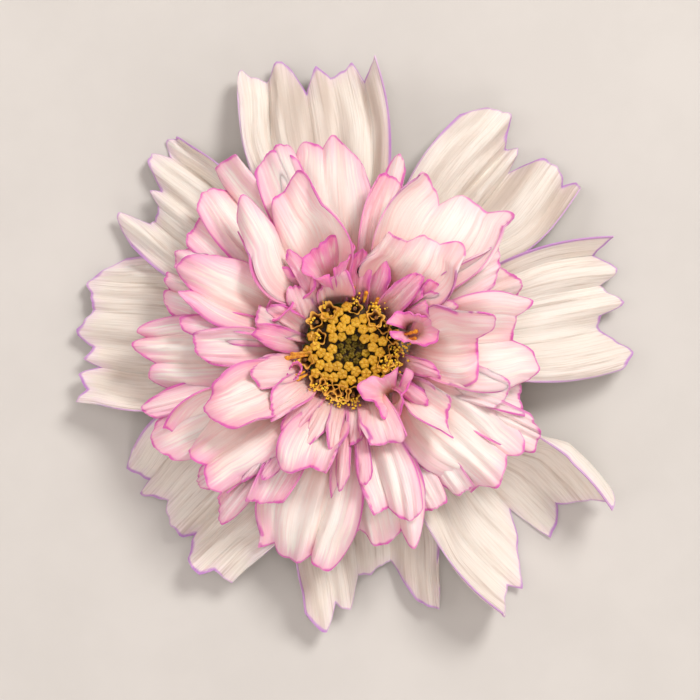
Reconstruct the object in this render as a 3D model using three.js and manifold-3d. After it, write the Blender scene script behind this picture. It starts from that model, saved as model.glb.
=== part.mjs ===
// A double cosmos bloom, picked with a short stub of its stem, lying face up.
// Millimetres. +Z points up out of the face; +Y is the top of the photographed flower.
// The origin is the centre of the bounding box in plan, at the height of the lowest point.
import * as THREE from "three";
import { mergeGeometries, mergeVertices } from "three/addons/utils/BufferGeometryUtils.js";
import Module from "manifold-3d";

const wasm = await Module();
wasm.setup();

// Driving dimensions
const AXIS_AT = [-0.3, -0.6]; // where the flower's own axis stands in plan
const BLADE = 0.6; // thickness of every petal and bract
const STEM_RADIUS = 1.15;
const CALYX_TOP = 5.7;
const RAY_HUB = { radius: 8.8, bottom: 6.0, top: 7.2 };
// The ring of packed claws from which the pink petals rise round the disc, as radius and height
const COLLAR = [[0, 7.5], [7.2, 7.5], [9.6, 8.7], [9.8, 9.6], [9.2, 10.4], [6.7, 10.4], [6.5, 9.2], [0, 9.2]];
const DISC = { radius: 6.0, bottom: 9.5, rim: 11.4, crown: 12.5 };
const HUB_SIDES = 32;
const GOLDEN_ANGLE = 137.508;

// How a petal of each layer grows: root is its radius and rootHeight its height where it leaves the hub,
// up the slope there and down the slope at its tip, near and far the pull of the two slopes as shares of
// its length, claw half its width at the root, spread how late it widens, round the angle whose sine its
// width follows, cup how far its section bends at root and at tip, pointed how straight its teeth are (all
// angles in degrees).
const LAYERS = {
  outer: {
    root: 6.8, rootHeight: 6.6, up: 4, down: -18, near: 0.45, far: 0.4,
    claw: 1.6, spread: 0.85, round: 108, cup: [30, 8], wave: 0.1, sway: 0.07, pointed: 0.5,
  },
  lower: {
    root: 8.4, rootHeight: 8.2, up: 42, down: -22, near: 0.3, far: 0.35,
    claw: 0.9, spread: 1.05, round: 120, cup: [55, 18], lean: 9,
  },
  middle: {
    root: 8.6, rootHeight: 8.4, up: 60, down: -24, near: 0.42, far: 0.35,
    claw: 0.8, spread: 1.15, round: 122, cup: [65, 26], lean: 9,
  },
  upper: {
    root: 8.5, rootHeight: 8.5, up: 70, down: -22, near: 0.52, far: 0.35,
    claw: 0.7, spread: 1.25, round: 124, cup: [70, 30], lean: 9,
  },
  inner: {
    root: 7.0, rootHeight: 8.6, up: 76, down: -10, near: 0.7, far: 0.4,
    claw: 0.6, spread: 1.1, round: 122, cup: [80, 40], pointed: 0.5,
  },
};

// What differs from petal to petal by seeded draws: twist, droop, bend of the tip and roll of each margin
// in degrees, and as shares of its width how far its margins wave along it and how far it sways across.
const VARIETY = { twist: 13, down: 18, cup: 35, curl: 80, wave: 0.3, sway: 0.2 };

// Each petal: its layer, the height of its tip, its cut edge in plan as azimuth and radius, and what it
// has of its own.
const PETALS = [
  ["outer", 1.0, [[84, 40.2], [88, 38.1], [90.4, 40.9], [94.8, 39.1], [97, 40.6], [99.8, 37.2],
    [102.7, 42.3], [106.4, 40.6], [109.8, 42.0], [114, 38.5]], {"curl": [50, 80], "flute": 1.0}],
  ["outer", 0.75, [[35.2, 39.2], [38.4, 39.9], [39.8, 38.5], [43, 39.7], [46, 38.6], [48.6, 35.0],
    [50.3, 37.5], [52.5, 36.8], [56.8, 39.9], [61.1, 39.1], [65.4, 36.9]], {"curl": [110, 30],
    "flute": 1.0}],
  ["outer", 1.4, [[-4.3, 38.0], [-0.4, 39.7], [4.4, 36.7], [8.1, 36.8], [10, 39.1], [14, 37.2],
    [16.5, 39.7], [20.2, 37.5], [24, 39.5]], {"curl": [20, 50], "flute": 0.9}],
  ["outer", 0.5, [[-60.4, 42.4], [-58, 43.1], [-53.5, 40.3], [-52, 41.7], [-45.2, 33.0],
    [-44.2, 39.8], [-41, 37.6], [-40.4, 36.8], [-37.3, 39.9], [-35.9, 41.7], [-32.8, 40.6],
    [-30.8, 42.8]], {"curl": [70, 120], "flute": 1.1}],
  ["outer", 1.0, [[258.2, 34.5], [259.3, 37.3], [265, 40.2], [266.9, 36.1], [269.8, 37.1],
    [272.2, 32.4], [275, 32.5], [277.7, 31.4], [280.7, 31.2], [285.1, 37.2], [288.6, 38.8],
    [290.3, 36.1], [292.3, 32.7]], {"curl": [60, 40], "flute": 0.9}],
  ["outer", 2.5, [[204.3, 35.0], [207.6, 37.1], [212.7, 35.0], [214.2, 36.8], [219.6, 34.1],
    [224.5, 36.2], [227.9, 36.0], [229.6, 34.5], [231.9, 37.9], [236.1, 38.7], [238.2, 36.9],
    [243, 37.3], [246.1, 32.4]], {"curl": [40, 40], "flute": 0.9}],
  ["outer", 2.05, [[157.8, 35.5], [160.7, 37.5], [165.4, 39.2], [169.7, 37.8], [171, 37.2],
    [176.1, 39.4], [178.7, 37.1], [181, 38.1], [182.5, 36.1], [184, 38.8], [187, 37.8],
    [190.3, 39.4], [192.3, 36.9]], {"curl": [20, 100], "flute": 0.9}],
  ["outer", 0.6, [[128.2, 37.2], [130, 39.7], [132.9, 40.2], [134.3, 38.6], [136.1, 39.9],
    [140.4, 35.8], [141.6, 36.3], [143.1, 34.5], [146.4, 34.4], [147.8, 34.6], [149.4, 38.6],
    [152, 37.6], [154.5, 35.3]], {"curl": [110, 40], "flute": 1.0}],
  ["lower", 10.1, [[84.8, 24.8], [87, 26.8], [95.7, 29.9], [98, 28.5], [102.7, 30.0],
    [105.5, 28.5]], {}],
  ["lower", 9.9, [[105, 28.5], [108, 30.0], [112, 29.6], [114, 28.2]], {}],
  ["lower", 10.7, [[105.5, 27.5], [108, 28.8], [112.6, 29.8], [116, 29.0], [118.7, 28.1]], {}],
  ["lower", 9.5, [[120, 28.0], [121.5, 31.3], [126.8, 32.0], [127.4, 28.8], [132.5, 30.2],
    [138.6, 28.8]], {}],
  ["lower", 10.4, [[137, 26.5], [139.9, 28.0], [144.5, 28.0], [148, 27.0]], {}],
  ["lower", 10.7, [[147, 26.6], [151.6, 27.4], [155, 27.0]], {}],
  ["lower", 10.1, [[156, 26.5], [157.8, 28.0], [161.8, 27.0], [164, 27.4], [170, 24.5]], {}],
  ["lower", 10.0, [[171, 27.4], [175.9, 29.8], [177, 28.8], [178.6, 29.9], [183.8, 27.6],
    [187.6, 28.9], [191.5, 26.8]], {}],
  ["lower", 10.3, [[191.5, 26.0], [195.6, 30.3], [199.6, 28.6]], {}],
  ["lower", 10.3, [[200, 29.0], [205.6, 31.0], [210.1, 29.5], [214.7, 26.7]], {}],
  ["lower", 9.6, [[218, 27.0], [221, 28.2], [225, 27.6]], {}],
  ["lower", 9.9, [[228.3, 27.9], [233.7, 29.6], [236, 26.0]], {}],
  ["lower", 8.7, [[243.9, 29.8], [245.9, 31.8], [249.5, 30.6], [252.8, 31.5], [258.8, 29.6],
    [264.9, 30.3], [269.7, 26.8]], {}],
  ["lower", 11.3, [[268.5, 26.5], [272.2, 25.9], [278.1, 27.9], [285.7, 26.2], [290, 28.1],
    [295.2, 24.1]], {}],
  ["lower", 11.7, [[294, 24.5], [296.3, 25.0], [301.8, 25.1], [303.7, 23.5]], {}],
  ["lower", 10.8, [[303, 22], [307, 25], [313, 25]], {}],
  ["lower", 11.0, [[330, 28.5], [332.2, 29.3], [336.2, 29.0], [338.9, 27.3], [340.5, 26.5]], {}],
  ["lower", 12.2, [[339, 25.0], [344, 24.7], [349, 24.0]], {}],
  ["lower", 11.6, [[17, 24.0], [18.6, 24.9], [22.6, 25.7], [27, 24.5], [29, 23.8]], {}],
  ["lower", 11.1, [[73, 25.5], [76.3, 27.4], [79, 25.2]], {}],
  ["middle", 13.1, [[203.8, 28.2], [207, 27.8], [210.5, 26.4], [213.4, 26.9], [218.8, 25.9],
    [225, 27.3], [228.9, 26.4], [230, 23.5]], {}],
  ["middle", 13.6, [[234.5, 23.8], [236, 24.7], [241, 24.2], [246, 22.8]], {}],
  ["middle", 14.8, [[275.9, 20.7], [278.2, 23.2], [283.5, 22.7], [289.3, 24.7], [294.7, 23.9]], {}],
  ["middle", 13.0, [[306.7, 22.7], [309.6, 26.9], [313.1, 26.6], [317.7, 27.8], [322.1, 26.9],
    [325.9, 26.4], [329.3, 27.9], [331.8, 27.5], [336.1, 24.0]], {}],
  ["middle", 14.9, [[335.8, 18.3], [338.6, 21.6], [343.8, 22.3], [348.3, 22.0], [351.9, 19.5]], {}],
  ["middle", 13.8, [[-11.2, 23.8], [-8.5, 25.3], [-4.6, 26.0], [-1, 26.0], [2.9, 23.2],
    [11.7, 23.5], [15.4, 25.7], [18.5, 23.9]], {}],
  ["middle", 14.0, [[24, 20.5], [27.1, 22.1], [32.6, 24.1], [35.5, 24.3], [37, 22.0]], {}],
  ["middle", 13.8, [[40.3, 26.2], [43.2, 27.5], [46, 27.8], [48.8, 26.5], [54.5, 26.6],
    [57.2, 24.0], [61, 25.3], [64, 26.0], [67.2, 25.8], [70.6, 25.1]], {"curl": [60, 40], "twist": 4}],
  ["middle", 13.5, [[67, 23.2], [69, 24.3], [73, 23.9], [78.6, 25.0], [82.5, 23.7]],
    {"curl": [10, 60], "twist": 8}],
  ["middle", 15.1, [[143.4, 21.7], [145.8, 23.3], [154.7, 26.6], [159.2, 23.8], [162.7, 24.7],
    [166, 22.5]], {}],
  ["middle", 15.2, [[163, 18.0], [167, 21.5], [169.7, 24.0], [173, 23.5], [175, 21.5]], {}],
  ["middle", 15.9, [[171.6, 19.6], [174.5, 22.0], [180, 21.5], [184.3, 19.9], [188, 17.0]], {}],
  ["middle", 14.6, [[228.5, 22.3], [231, 23.4], [233, 21.3]], {}],
  ["middle", 15.9, [[234, 20.2], [236.5, 21.6], [239, 19.6]], {}],
  ["upper", 16.6, [[192, 18.5], [194.7, 19.7], [204, 20.7], [213, 19.0], [216.8, 16.9]], {}],
  ["upper", 15.4, [[101, 20.5], [102, 22.8], [108.8, 25.1], [116.5, 23.8], [121.7, 20.2],
    [124.8, 24.8], [129.4, 24.4], [133.5, 23.1], [135.7, 19.4]], {}],
  ["upper", 17.6, [[37.8, 18.5], [41, 20.6], [46.2, 21.5], [50.4, 19.1], [57, 18.9], [62, 16.9],
    [71.6, 17.7], [75.4, 15.1]], {"curl": [60, 40]}],
  ["upper", 17.7, [[-13, 17.9], [-9.5, 17.9], [5, 17.7], [9.6, 18.9], [13.4, 19.0], [18, 18.3],
    [21, 16.9]], {}],
  ["upper", 17.7, [[236.7, 18.2], [244, 18.6], [250, 17.2], [257.4, 17.4], [262.9, 14.5]], {}],
  ["upper", 17.8, [[318, 16.5], [319.8, 17.3], [327, 16.0], [333.5, 15.4], [335, 13.5]], {}],
  ["upper", 16.6, [[263, 17.5], [266, 19.0], [269, 17.5]], {}],
  ["upper", 16.6, [[274, 17.5], [277, 18.5], [280, 17.0]], {}],
  ["upper", 17.4, [[20, 15.0], [23, 15.9], [29.5, 14.9], [36.5, 13.5]], {"curl": [30, 30]}],
  ["inner", 17.0, [[92, 10.9], [97, 11.1], [104, 10.5], [113, 9.7], [122, 9.2]], {"base": 108,
    "up": 82, "down": -45, "claw": 1.9, "cup": [40, -10], "tint": 0.6}],
  ["inner", 17.5, [[115.5, 11.5], [118, 14.5], [122, 16.2], [125.5, 15.5], [127, 12.5]],
    {"cup": [60, -60], "down": -25, "tint": 1.0}],
  ["inner", 15.6, [[125, 9.8], [130, 11.4], [137, 12.1], [144, 11.2]], {"twist": 18, "base": 146,
    "root": 6.9, "up": 84, "down": -20, "claw": 1.6, "cup": [30, 10], "tint": 0.6}],
  ["inner", 16.0, [[145, 10.6], [150, 12.6], [158, 13.3], [165, 12.0]], {"twist": -35,
    "curl": [140, 20], "base": 160, "up": 80, "down": -30, "claw": 1.5, "cup": [40, 0], "tint": 0.6}],
  ["inner", 15.2, [[150, 12.4], [156, 13.9], [162, 13.8], [167, 12.2]], {"twist": 25,
    "curl": [20, 150], "claw": 1.3, "down": -20, "tint": 0.3}],
  ["inner", 16.8, [[162, 11.2], [166, 13.0], [171, 13.2], [176, 12.2], [180, 10.4]], {"base": 174,
    "up": 80, "down": -40, "claw": 1.4, "cup": [40, 0], "curl": [120, 10], "tint": 1.2}],
  ["inner", 16.4, [[184, 11.8], [189, 13.4], [196, 14.3], [203, 13.6]], {"twist": 30,
    "curl": [150, 30], "base": 196, "claw": 1.4, "cup": [50, -15], "tint": 0.4}],
  ["inner", 16.9, [[206, 10.8], [212, 12.6], [219, 14.0], [224.5, 14.6], [228, 12.6]],
    {"base": 215, "claw": 1.3, "cup": [60, 40], "twist": 30, "curl": [150, 20], "tint": 0.5}],
  ["inner", 16.2, [[226, 13.4], [230, 14.9], [235, 15.4], [239, 11.6]], {"base": 233, "claw": 1.2,
    "tint": 0.7}],
  ["inner", 16.6, [[239, 11.4], [246, 15.0], [253, 11.8]], {"twist": 25, "pointed": 0.8,
    "claw": 1.2, "cup": [60, -20], "tint": 0.15}],
  ["inner", 16.3, [[252, 11.2], [256, 13.8], [260, 14.0], [264, 10.8]], {"twist": -40,
    "curl": [160, -20], "claw": 1.2, "cup": [60, -10], "tint": 0.15}],
  ["inner", 15.2, [[268, 12.6], [271, 13.4], [274, 13.2], [277, 12.4]], {"twist": 35, "claw": 0.9,
    "tint": 0.4}],
  ["inner", 14.9, [[274.5, 10.4], [278, 12.2], [283, 10.4]], {"pointed": 0.8, "tint": 1.2}],
  ["inner", 16.6, [[281, 12.9], [286, 13.4], [292, 13.9], [297, 14.3], [302, 13.9]], {"twist": -20,
    "curl": [160, 60], "claw": 1.6, "down": -60, "cup": [50, 25], "tint": 0.6}],
  ["inner", 15.0, [[320, 12.0], [325, 13.2], [331, 12.0]], {"claw": 1.2, "tint": 0.9}],
  ["inner", 16.5, [[338.8, 10.1], [343.6, 13.0], [348, 12.5], [353, 10.8]], {"twist": 30,
    "claw": 1.3, "cup": [60, -10], "curl": [60, 100], "tint": 0.9}],
  ["inner", 17.4, [[41, 12.2], [46, 14.4], [51, 14.0], [57, 11.5]], {"claw": 1.0, "cup": [100, 60],
    "tint": 0.9}],
  ["inner", 15.0, [[60, 11.2], [67, 13.6], [75, 12.4]], {"twist": -30, "claw": 1.5, "tint": 1.4}],
  ["inner", 15.4, [[76, 12.2], [83, 14.2], [90, 12.2]], {"claw": 1.5, "tint": 1.4}],
];

const radians = THREE.MathUtils.degToRad;
const { clamp, lerp, smoothstep } = THREE.MathUtils;

function plan(azimuth, radius, height = 0) {
  const a = radians(azimuth);
  return new THREE.Vector3(radius * Math.cos(a), radius * Math.sin(a), height);
}

// A fixed draw between -1 and 1 for petal number n; kind tells the draws of one petal apart.
function draw(n, kind) {
  const x = Math.sin(n * 12.9898 + kind * 78.233) * 43758.5453;
  return 2 * (x - Math.floor(x)) - 1;
}

// A petal's section from its midline out to a share q of its half width: it bends evenly by the cup, and its
// margin rolls further.
function section(q, cup, rolled) {
  const steps = 16;
  let x = 0;
  let y = 0;
  for (let i = 0; i < steps; i++) {
    const s = (q * (i + 0.5)) / steps;
    const bend = cup * s + rolled * Math.max((s - 0.5) / 0.5, 0) ** 1.5;
    x += (Math.cos(bend) * q) / steps;
    y += (Math.sin(bend) * q) / steps;
  }
  return [x, y];
}

// A petal as a surface: at(u, v) is its point a share u across (-1 its clockwise side, 1 the other) and v
// along.
function petal([layer, tipHeight, cut, own], number) {
  const drawn = {
    twist: VARIETY.twist * draw(number, 1),
    wavePhase: Math.PI * draw(number, 2),
    curl: [8, 9].map((kind) => VARIETY.curl * (0.4 * Math.sign(draw(number, kind)) + 0.6 * draw(number, kind))),
  };
  const usual = { lean: 0, flute: 1.0, pointed: 0.1, wave: VARIETY.wave, sway: VARIETY.sway };
  const shape = { ...drawn, ...usual, ...LAYERS[layer], ...own };
  shape.down += VARIETY.down * draw(number, 3);
  const tipCup = shape.cup[1] + (own.cup ? 0 : VARIETY.cup * draw(number, 12));
  const first = cut[0];
  const last = cut[cut.length - 1];
  const azimuth = (first[0] + last[0]) / 2;
  const rootAzimuth = shape.base ?? azimuth;
  const root = plan(rootAzimuth, shape.root);
  const meanRadius = cut.reduce((sum, [, r]) => sum + r, 0) / cut.length;
  const ahead = plan(azimuth, meanRadius).sub(root).normalize();
  const left = new THREE.Vector3(-ahead.y, ahead.x, 0);
  const marks = cut.map(([a, r]) => plan(a, r).sub(root));
  const reach = Math.max(...marks.map((m) => m.dot(ahead)));

  const start = root.clone().setZ(shape.rootHeight);
  const end = root.clone().addScaledVector(ahead, reach).setZ(tipHeight);
  const leave = plan(rootAzimuth, Math.cos(radians(shape.up)), Math.sin(radians(shape.up)));
  const arrive = ahead.clone().multiplyScalar(Math.cos(radians(shape.down))).setZ(Math.sin(radians(shape.down)));
  const midline = new THREE.CubicBezierCurve3(
    start,
    start.clone().addScaledVector(leave, shape.near * reach),
    end.clone().addScaledVector(arrive, -shape.far * reach),
    end,
  );

  // The share of the midline at which each mark of the cut edge lies, found by halving.
  const shareAt = (distance) => {
    let low = 0;
    let high = 1;
    for (let i = 0; i < 30; i++) {
      const mid = (low + high) / 2;
      if (midline.getPoint(mid).sub(root).dot(ahead) < distance) low = mid;
      else high = mid;
    }
    return (low + high) / 2;
  };
  const shares = marks.map((m) => shareAt(m.dot(ahead)));
  const sides = marks.map((m) => m.dot(left));
  const half = [-sides[0], sides[sides.length - 1]];
  const columns = sides.map((x) => (x < 0 ? x / half[0] : x / half[1]));
  const corner = [shares[0], shares[shares.length - 1]];
  const meanShare = shares.reduce((sum, s) => sum + s, 0) / shares.length;
  const spanShare = Math.max(...shares) - Math.min(...shares) + 1e-6;

  // The cut edge between two marks: round at the tip of a tooth and sharp in a notch.
  const cutShare = (u) => {
    let i = 0;
    while (i < columns.length - 2 && columns[i + 1] <= u) i++;
    const f = clamp((u - columns[i]) / (columns[i + 1] - columns[i]), 0, 1);
    const rising = shares[i + 1] > shares[i];
    const eased = rising ? Math.sin((Math.PI / 2) * f) : 1 - Math.cos((Math.PI / 2) * f);
    return lerp(shares[i], shares[i + 1], lerp(eased, f, shape.pointed));
  };
  const turn = Math.atan2(ahead.y, ahead.x) - Math.atan2(root.y, root.x);
  const headingTurn = Math.atan2(Math.sin(turn), Math.cos(turn));
  const curl = shape.curl.map(radians);

  const at = (u, v) => {
    const side = u < 0 ? 0 : 1;
    const share = cutShare(u);
    const t = Math.min(v * share, 1);
    const toCorner = Math.min(t / corner[side], 1);
    const opening = Math.sin(toCorner ** shape.spread * radians(shape.round)) / Math.sin(radians(shape.round));
    const width = shape.claw + (half[side] - shape.claw) * opening;
    const cup = radians(lerp(shape.cup[0], tipCup, t ** 0.8));
    const rolled = curl[side] * smoothstep(t, shape.curlFrom ?? 0.3, (shape.curlFrom ?? 0.3) + 0.4);
    const [x, y] = section(Math.abs(u), cup, rolled);
    const stretch = width / Math.max(section(1, cup, rolled)[0], 0.6);
    const flute = shape.flute * t ** 1.5 * 2 * (share - meanShare) / spanShare;
    const across = Math.sign(u) * x * stretch;
    const wave = shape.wave * width * t * u * u * Math.sin(shape.wavePhase + 5 * t);
    const sway = shape.sway * width * t ** 1.5 * Math.sin(3.2 * u + 2 * shape.wavePhase);
    const raised = y * stretch + flute + wave + sway;
    const along = midline.getTangent(t);
    const heading = Math.atan2(root.y, root.x) + headingTurn * t;
    const sideways = new THREE.Vector3(-Math.sin(heading), Math.cos(heading), 0);
    const upright = along.clone().cross(sideways).normalize();
    const twist = radians(shape.twist + shape.lean) * t ** 1.3;
    return midline
      .getPoint(t)
      .addScaledVector(sideways, Math.cos(twist) * across - Math.sin(twist) * raised)
      .addScaledVector(upright, Math.sin(twist) * across + Math.cos(twist) * raised);
  };
  return { at, columns };
}

// Petals grown into a split trumpet: its foot and the middle of its mouth as azimuth, radius and height,
// the mouth's half widths across and outwards, its lobes, how high they wave, and the direction its split
// faces.
const TRUMPETS = [
  { foot: [312, 8.9, 8.8], mouth: [311, 7.7, 15.6], across: 3.4, outward: 3.0, lobes: 3, lift: 0.6, split: 250 },
  { foot: [17, 9.0, 8.8], mouth: [19, 9.2, 16.6], across: 2.9, outward: 2.8, lobes: 2, lift: 0.8, split: 200 },
  { foot: [136, 9.4, 8.8], mouth: [137, 12.2, 16.6], across: 3.7, outward: 2.6, lobes: 3, lift: 0.8, split: 100 },
  { foot: [105, 8.8, 8.8], mouth: [104, 13.4, 18.4], across: 3.1, outward: 2.7, lobes: 2, lift: 0.9, split: 180 },
  { foot: [201, 8.3, 8.8], mouth: [200, 8.4, 14.4], across: 1.1, outward: 1.0, lobes: 2, lift: 0.3, split: 20 },
  { foot: [33, 9.2, 8.8], mouth: [31, 13.6, 17.0], across: 2.2, outward: 1.8, lobes: 2, lift: 0.6, split: 210 },
];
const TRUMPET_BORE = 0.75;
const TRUMPET_TURN = 172; // degrees from the middle of its wall to the split

// A trumpet as a surface: u runs round it from one side of the split to the other, v from its foot to its
// rim. It widens slowly, then fast, and its height levels off, so that its rim flares.
function trumpet({ foot, mouth, across, outward, lobes, lift, split }) {
  const start = plan(foot[0], foot[1], foot[2]);
  const end = plan(mouth[0], mouth[1], mouth[2]);
  const out = plan(mouth[0], 1);
  const left = new THREE.Vector3(-out.y, out.x, 0);
  return (u, v) => {
    const angle = radians(split + 180 + TRUMPET_TURN * u);
    const opened = 0.65 * v + 0.35 * Math.max(v, 0) ** 3.5;
    const lobed = Math.cos(lobes * angle + split);
    const swell = 1 + 0.32 * v * v * lobed;
    const wide = (TRUMPET_BORE + (across - TRUMPET_BORE) * opened) * swell;
    const deep = (TRUMPET_BORE + (outward - TRUMPET_BORE) * opened) * swell;
    const rise = 1 - Math.max(1 - v, 0) ** 1.5;
    const wave = lift * v * v * Math.sin((lobes + 1) * angle + 2 * split);
    const along = v ** 1.5;
    return new THREE.Vector3(lerp(start.x, end.x, along), lerp(start.y, end.y, along), lerp(start.z, end.z, rise))
      .addScaledVector(left, -Math.sin(angle) * wide)
      .addScaledVector(out, Math.cos(angle) * deep)
      .add(new THREE.Vector3(0, 0, wave));
  };
}

// Columns of a petal's grid: those of its cut edge that don't crowd, and one between two that stand wide
// apart.
function gridColumns(columns, widest, narrowest) {
  const out = [columns[0]];
  columns.slice(1).forEach((u, i) => {
    const gap = u - columns[i];
    if (gap < narrowest) return;
    if (gap > widest) out.push(columns[i] + gap / 2);
    out.push(u);
  });
  out[out.length - 1] = 1;
  return out;
}

// The closed blade of even thickness round a surface: two like grids, and a wall along their edge.
function blade(at, columns, rows, thickness) {
  const step = 0.02;
  const upper = [];
  const lower = [];
  for (const v of rows) {
    for (const u of columns) {
      const across = at(u + step, v).sub(at(u - step, v));
      const along = at(u, v + step).sub(at(u, Math.max(v - step, 0)));
      const normal = along.cross(across).normalize();
      upper.push(at(u, v).addScaledVector(normal, thickness / 2));
      lower.push(at(u, v).addScaledVector(normal, -thickness / 2));
    }
  }
  const wide = columns.length;
  const tall = rows.length;
  const points = [...upper, ...lower];
  const under = upper.length;
  const faces = [];
  for (let j = 0; j < tall - 1; j++) {
    for (let i = 0; i < wide - 1; i++) {
      const [a, b, c, d] = [j * wide + i, (j + 1) * wide + i, (j + 1) * wide + i + 1, j * wide + i + 1];
      faces.push([a, b, c], [a, c, d]);
      faces.push([a + under, c + under, b + under], [a + under, d + under, c + under]);
    }
  }
  const ring = [];
  for (let i = wide - 1; i > 0; i--) ring.push(i);
  for (let j = 0; j < tall - 1; j++) ring.push(j * wide);
  for (let i = 0; i < wide - 1; i++) ring.push((tall - 1) * wide + i);
  for (let j = tall - 1; j > 0; j--) ring.push(j * wide + wide - 1);
  ring.forEach((a, i) => {
    const b = ring[(i + 1) % ring.length];
    faces.push([a + under, b + under, b], [a + under, b, a]);
  });
  return solid(new THREE.BufferGeometry().setFromPoints(points).setIndex(faces.flat()));
}

function solid(geometry) {
  geometry.deleteAttribute("normal");
  geometry.deleteAttribute("uv");
  const merged = mergeVertices(geometry, 1e-4);
  return new wasm.Manifold(
    new wasm.Mesh({
      numProp: 3,
      vertProperties: new Float32Array(merged.attributes.position.array),
      triVerts: new Uint32Array(merged.index.array),
    }),
  );
}

// A solid of revolution about Z from its profile as radius and height, from the axis below to the axis above.
function turned(profile, sides) {
  const geometry = new THREE.LatheGeometry(profile.map(([r, z]) => new THREE.Vector2(r, z)), sides);
  geometry.rotateX(Math.PI / 2);
  return solid(geometry);
}

// Joins solids into one body; hollows that this seals are filled and loose scraps are dropped.
function fuse(solids) {
  const shells = solids.reduce((whole, next) => whole.add(next)).decompose();
  return shells.reduce((largest, shell) => (shell.volume() > largest.volume() ? shell : largest));
}

function meshOf(name, body, look) {
  const { numProp, vertProperties, triVerts } = body.getMesh();
  const geometry = new THREE.BufferGeometry();
  const stored = new THREE.InterleavedBuffer(vertProperties, numProp);
  geometry.setAttribute("position", new THREE.InterleavedBufferAttribute(stored, 3, 0));
  geometry.setIndex(new THREE.BufferAttribute(triVerts, 1));
  geometry.computeVertexNormals();
  const mesh = new THREE.Mesh(geometry, new THREE.MeshStandardMaterial({ ...look, metalness: 0 }));
  mesh.name = name;
  return mesh;
}

// Petals

const RAY_ROWS = [0, 0.15, 0.35, 0.6, 0.82, 1];
const PETAL_ROWS = [0, 0.36, 0.7, 1];
const SMALL_ROWS = [0, 0.55, 1];
const TRUMPET_ROWS = [0, 0.62, 1];
const TRUMPET_COLUMNS = [-1, -0.75, -0.5, -0.25, 0, 0.25, 0.5, 0.75, 1];

function hub({ radius, bottom, top }) {
  const inset = radius - 0.5;
  const profile = [[0, bottom], [inset, bottom], [radius, (top + bottom) / 2], [inset, top], [0, top]];
  return turned(profile, HUB_SIDES);
}

function petalBlades(layers, rows, widest, narrowest) {
  return PETALS.flatMap((row, number) => {
    if (!layers.includes(row[0])) return [];
    const { at, columns } = petal(row, number);
    return [blade(at, gridColumns(columns, widest, narrowest), rows, BLADE)];
  });
}

function outerPetals() {
  return fuse([hub(RAY_HUB), ...petalBlades(["outer"], RAY_ROWS, 0.9, 0.15)]);
}

function innerPetals() {
  const low = petalBlades(["lower"], SMALL_ROWS, 1.5, 0.3);
  const broad = petalBlades(["middle", "upper"], PETAL_ROWS, 1.4, 0.3);
  const small = petalBlades(["inner"], SMALL_ROWS, 1.3, 0.4);
  const trumpets = TRUMPETS.map((row) => blade(trumpet(row), TRUMPET_COLUMNS, TRUMPET_ROWS, BLADE));
  return fuse([...low, ...broad, ...small, ...trumpets, turned(COLLAR, HUB_SIDES)]);
}

// Disc

// Open florets of the disc: azimuth, radius, grains of pollen on it, and how far outwards they lie. The
// closed buds keep clear of them.
const OPEN_FLORETS = [
  [120, 6.1, 9, 0.9],
  [140.6, 5.7, 7, 0.8],
  [84.5, 5.4, 12, 1.1],
  [59, 6.4, 22, 0.7],
  [51.9, 5.0, 0, 0],
  [34.6, 5.2, 16, 0.6],
  [158.8, 4.2, 10, 0.1],
  [0, 5.3, 30, 0.5],
  [339.5, 4.4, 18, 0],
  [342.8, 6.5, 26, 0.6],
  [223.3, 6.4, 14, 1.0],
  [235.5, 5.5, 10, 0.3],
  [247, 6.3, 8, 1.1],
  [258.7, 6.0, 14, 1.3],
  [272.7, 5.7, 20, 1.1],
  [192, 6.2, 4, 0.9],
  [18, 5.6, 12, 0.2],
];
const BUD_COUNT = 84;
const YOUNG_BUDS = 12;
const YOUNG_AREA = 0.82;
const BUD_AREA = 1.48;
const FLORET_ROOM = 1.0;

function discHeight(radius) {
  const share = radius / DISC.radius;
  return DISC.crown - (DISC.crown - DISC.rim) * share ** 2 - 0.5 * Math.exp(-((radius / 1.8) ** 2));
}

// Closed buds on a golden-angle spiral, each with the area that it takes up: small in the middle, full-
// grown round it.
function budPlaces() {
  const places = [];
  for (let n = 0; n < BUD_COUNT; n++) {
    const crowded = YOUNG_AREA * (Math.min(n, YOUNG_BUDS) + 0.2) + BUD_AREA * Math.max(n - YOUNG_BUDS, 0);
    const radius = Math.sqrt(crowded / Math.PI);
    const place = plan(n * GOLDEN_ANGLE, radius, discHeight(radius));
    const clear = OPEN_FLORETS.every(([a, r]) => plan(a, r).distanceTo(place.clone().setZ(0)) > FLORET_ROOM);
    if (clear && radius < DISC.radius - 0.2) places.push({ place, radius, azimuth: n * GOLDEN_ANGLE });
  }
  return places;
}

// Stands a small turned form at its place on the disc, leaning outwards by an angle.
function stand(profile, sides, place, azimuth, lean) {
  const geometry = new THREE.LatheGeometry(profile.map(([r, z]) => new THREE.Vector2(r, z)), sides);
  geometry.rotateX(Math.PI / 2);
  geometry.rotateY(radians(lean));
  geometry.rotateZ(radians(azimuth));
  geometry.translate(place.x, place.y, place.z);
  return solid(geometry);
}

function bud({ place, radius, azimuth }) {
  const grown = smoothstep(radius, 1.5, 2.3);
  const r = lerp(0.42, 0.66, grown);
  const h = lerp(1, 1.9, grown);
  const profile = [[0, -1.2], [r, h * 0.9], [0, h]];
  return stand(profile, 5, place, azimuth, radius * 3);
}

function openFloret([azimuth, radius]) {
  const place = plan(azimuth, Math.min(radius, DISC.radius - 0.5), discHeight(Math.min(radius, DISC.radius)));
  const profile = [[0, -1.4], [1.12, 2.0], [0.4, 1.1], [0, 2.2]];
  return stand(profile, 5, place, azimuth, 6 + radius * 3);
}

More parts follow.
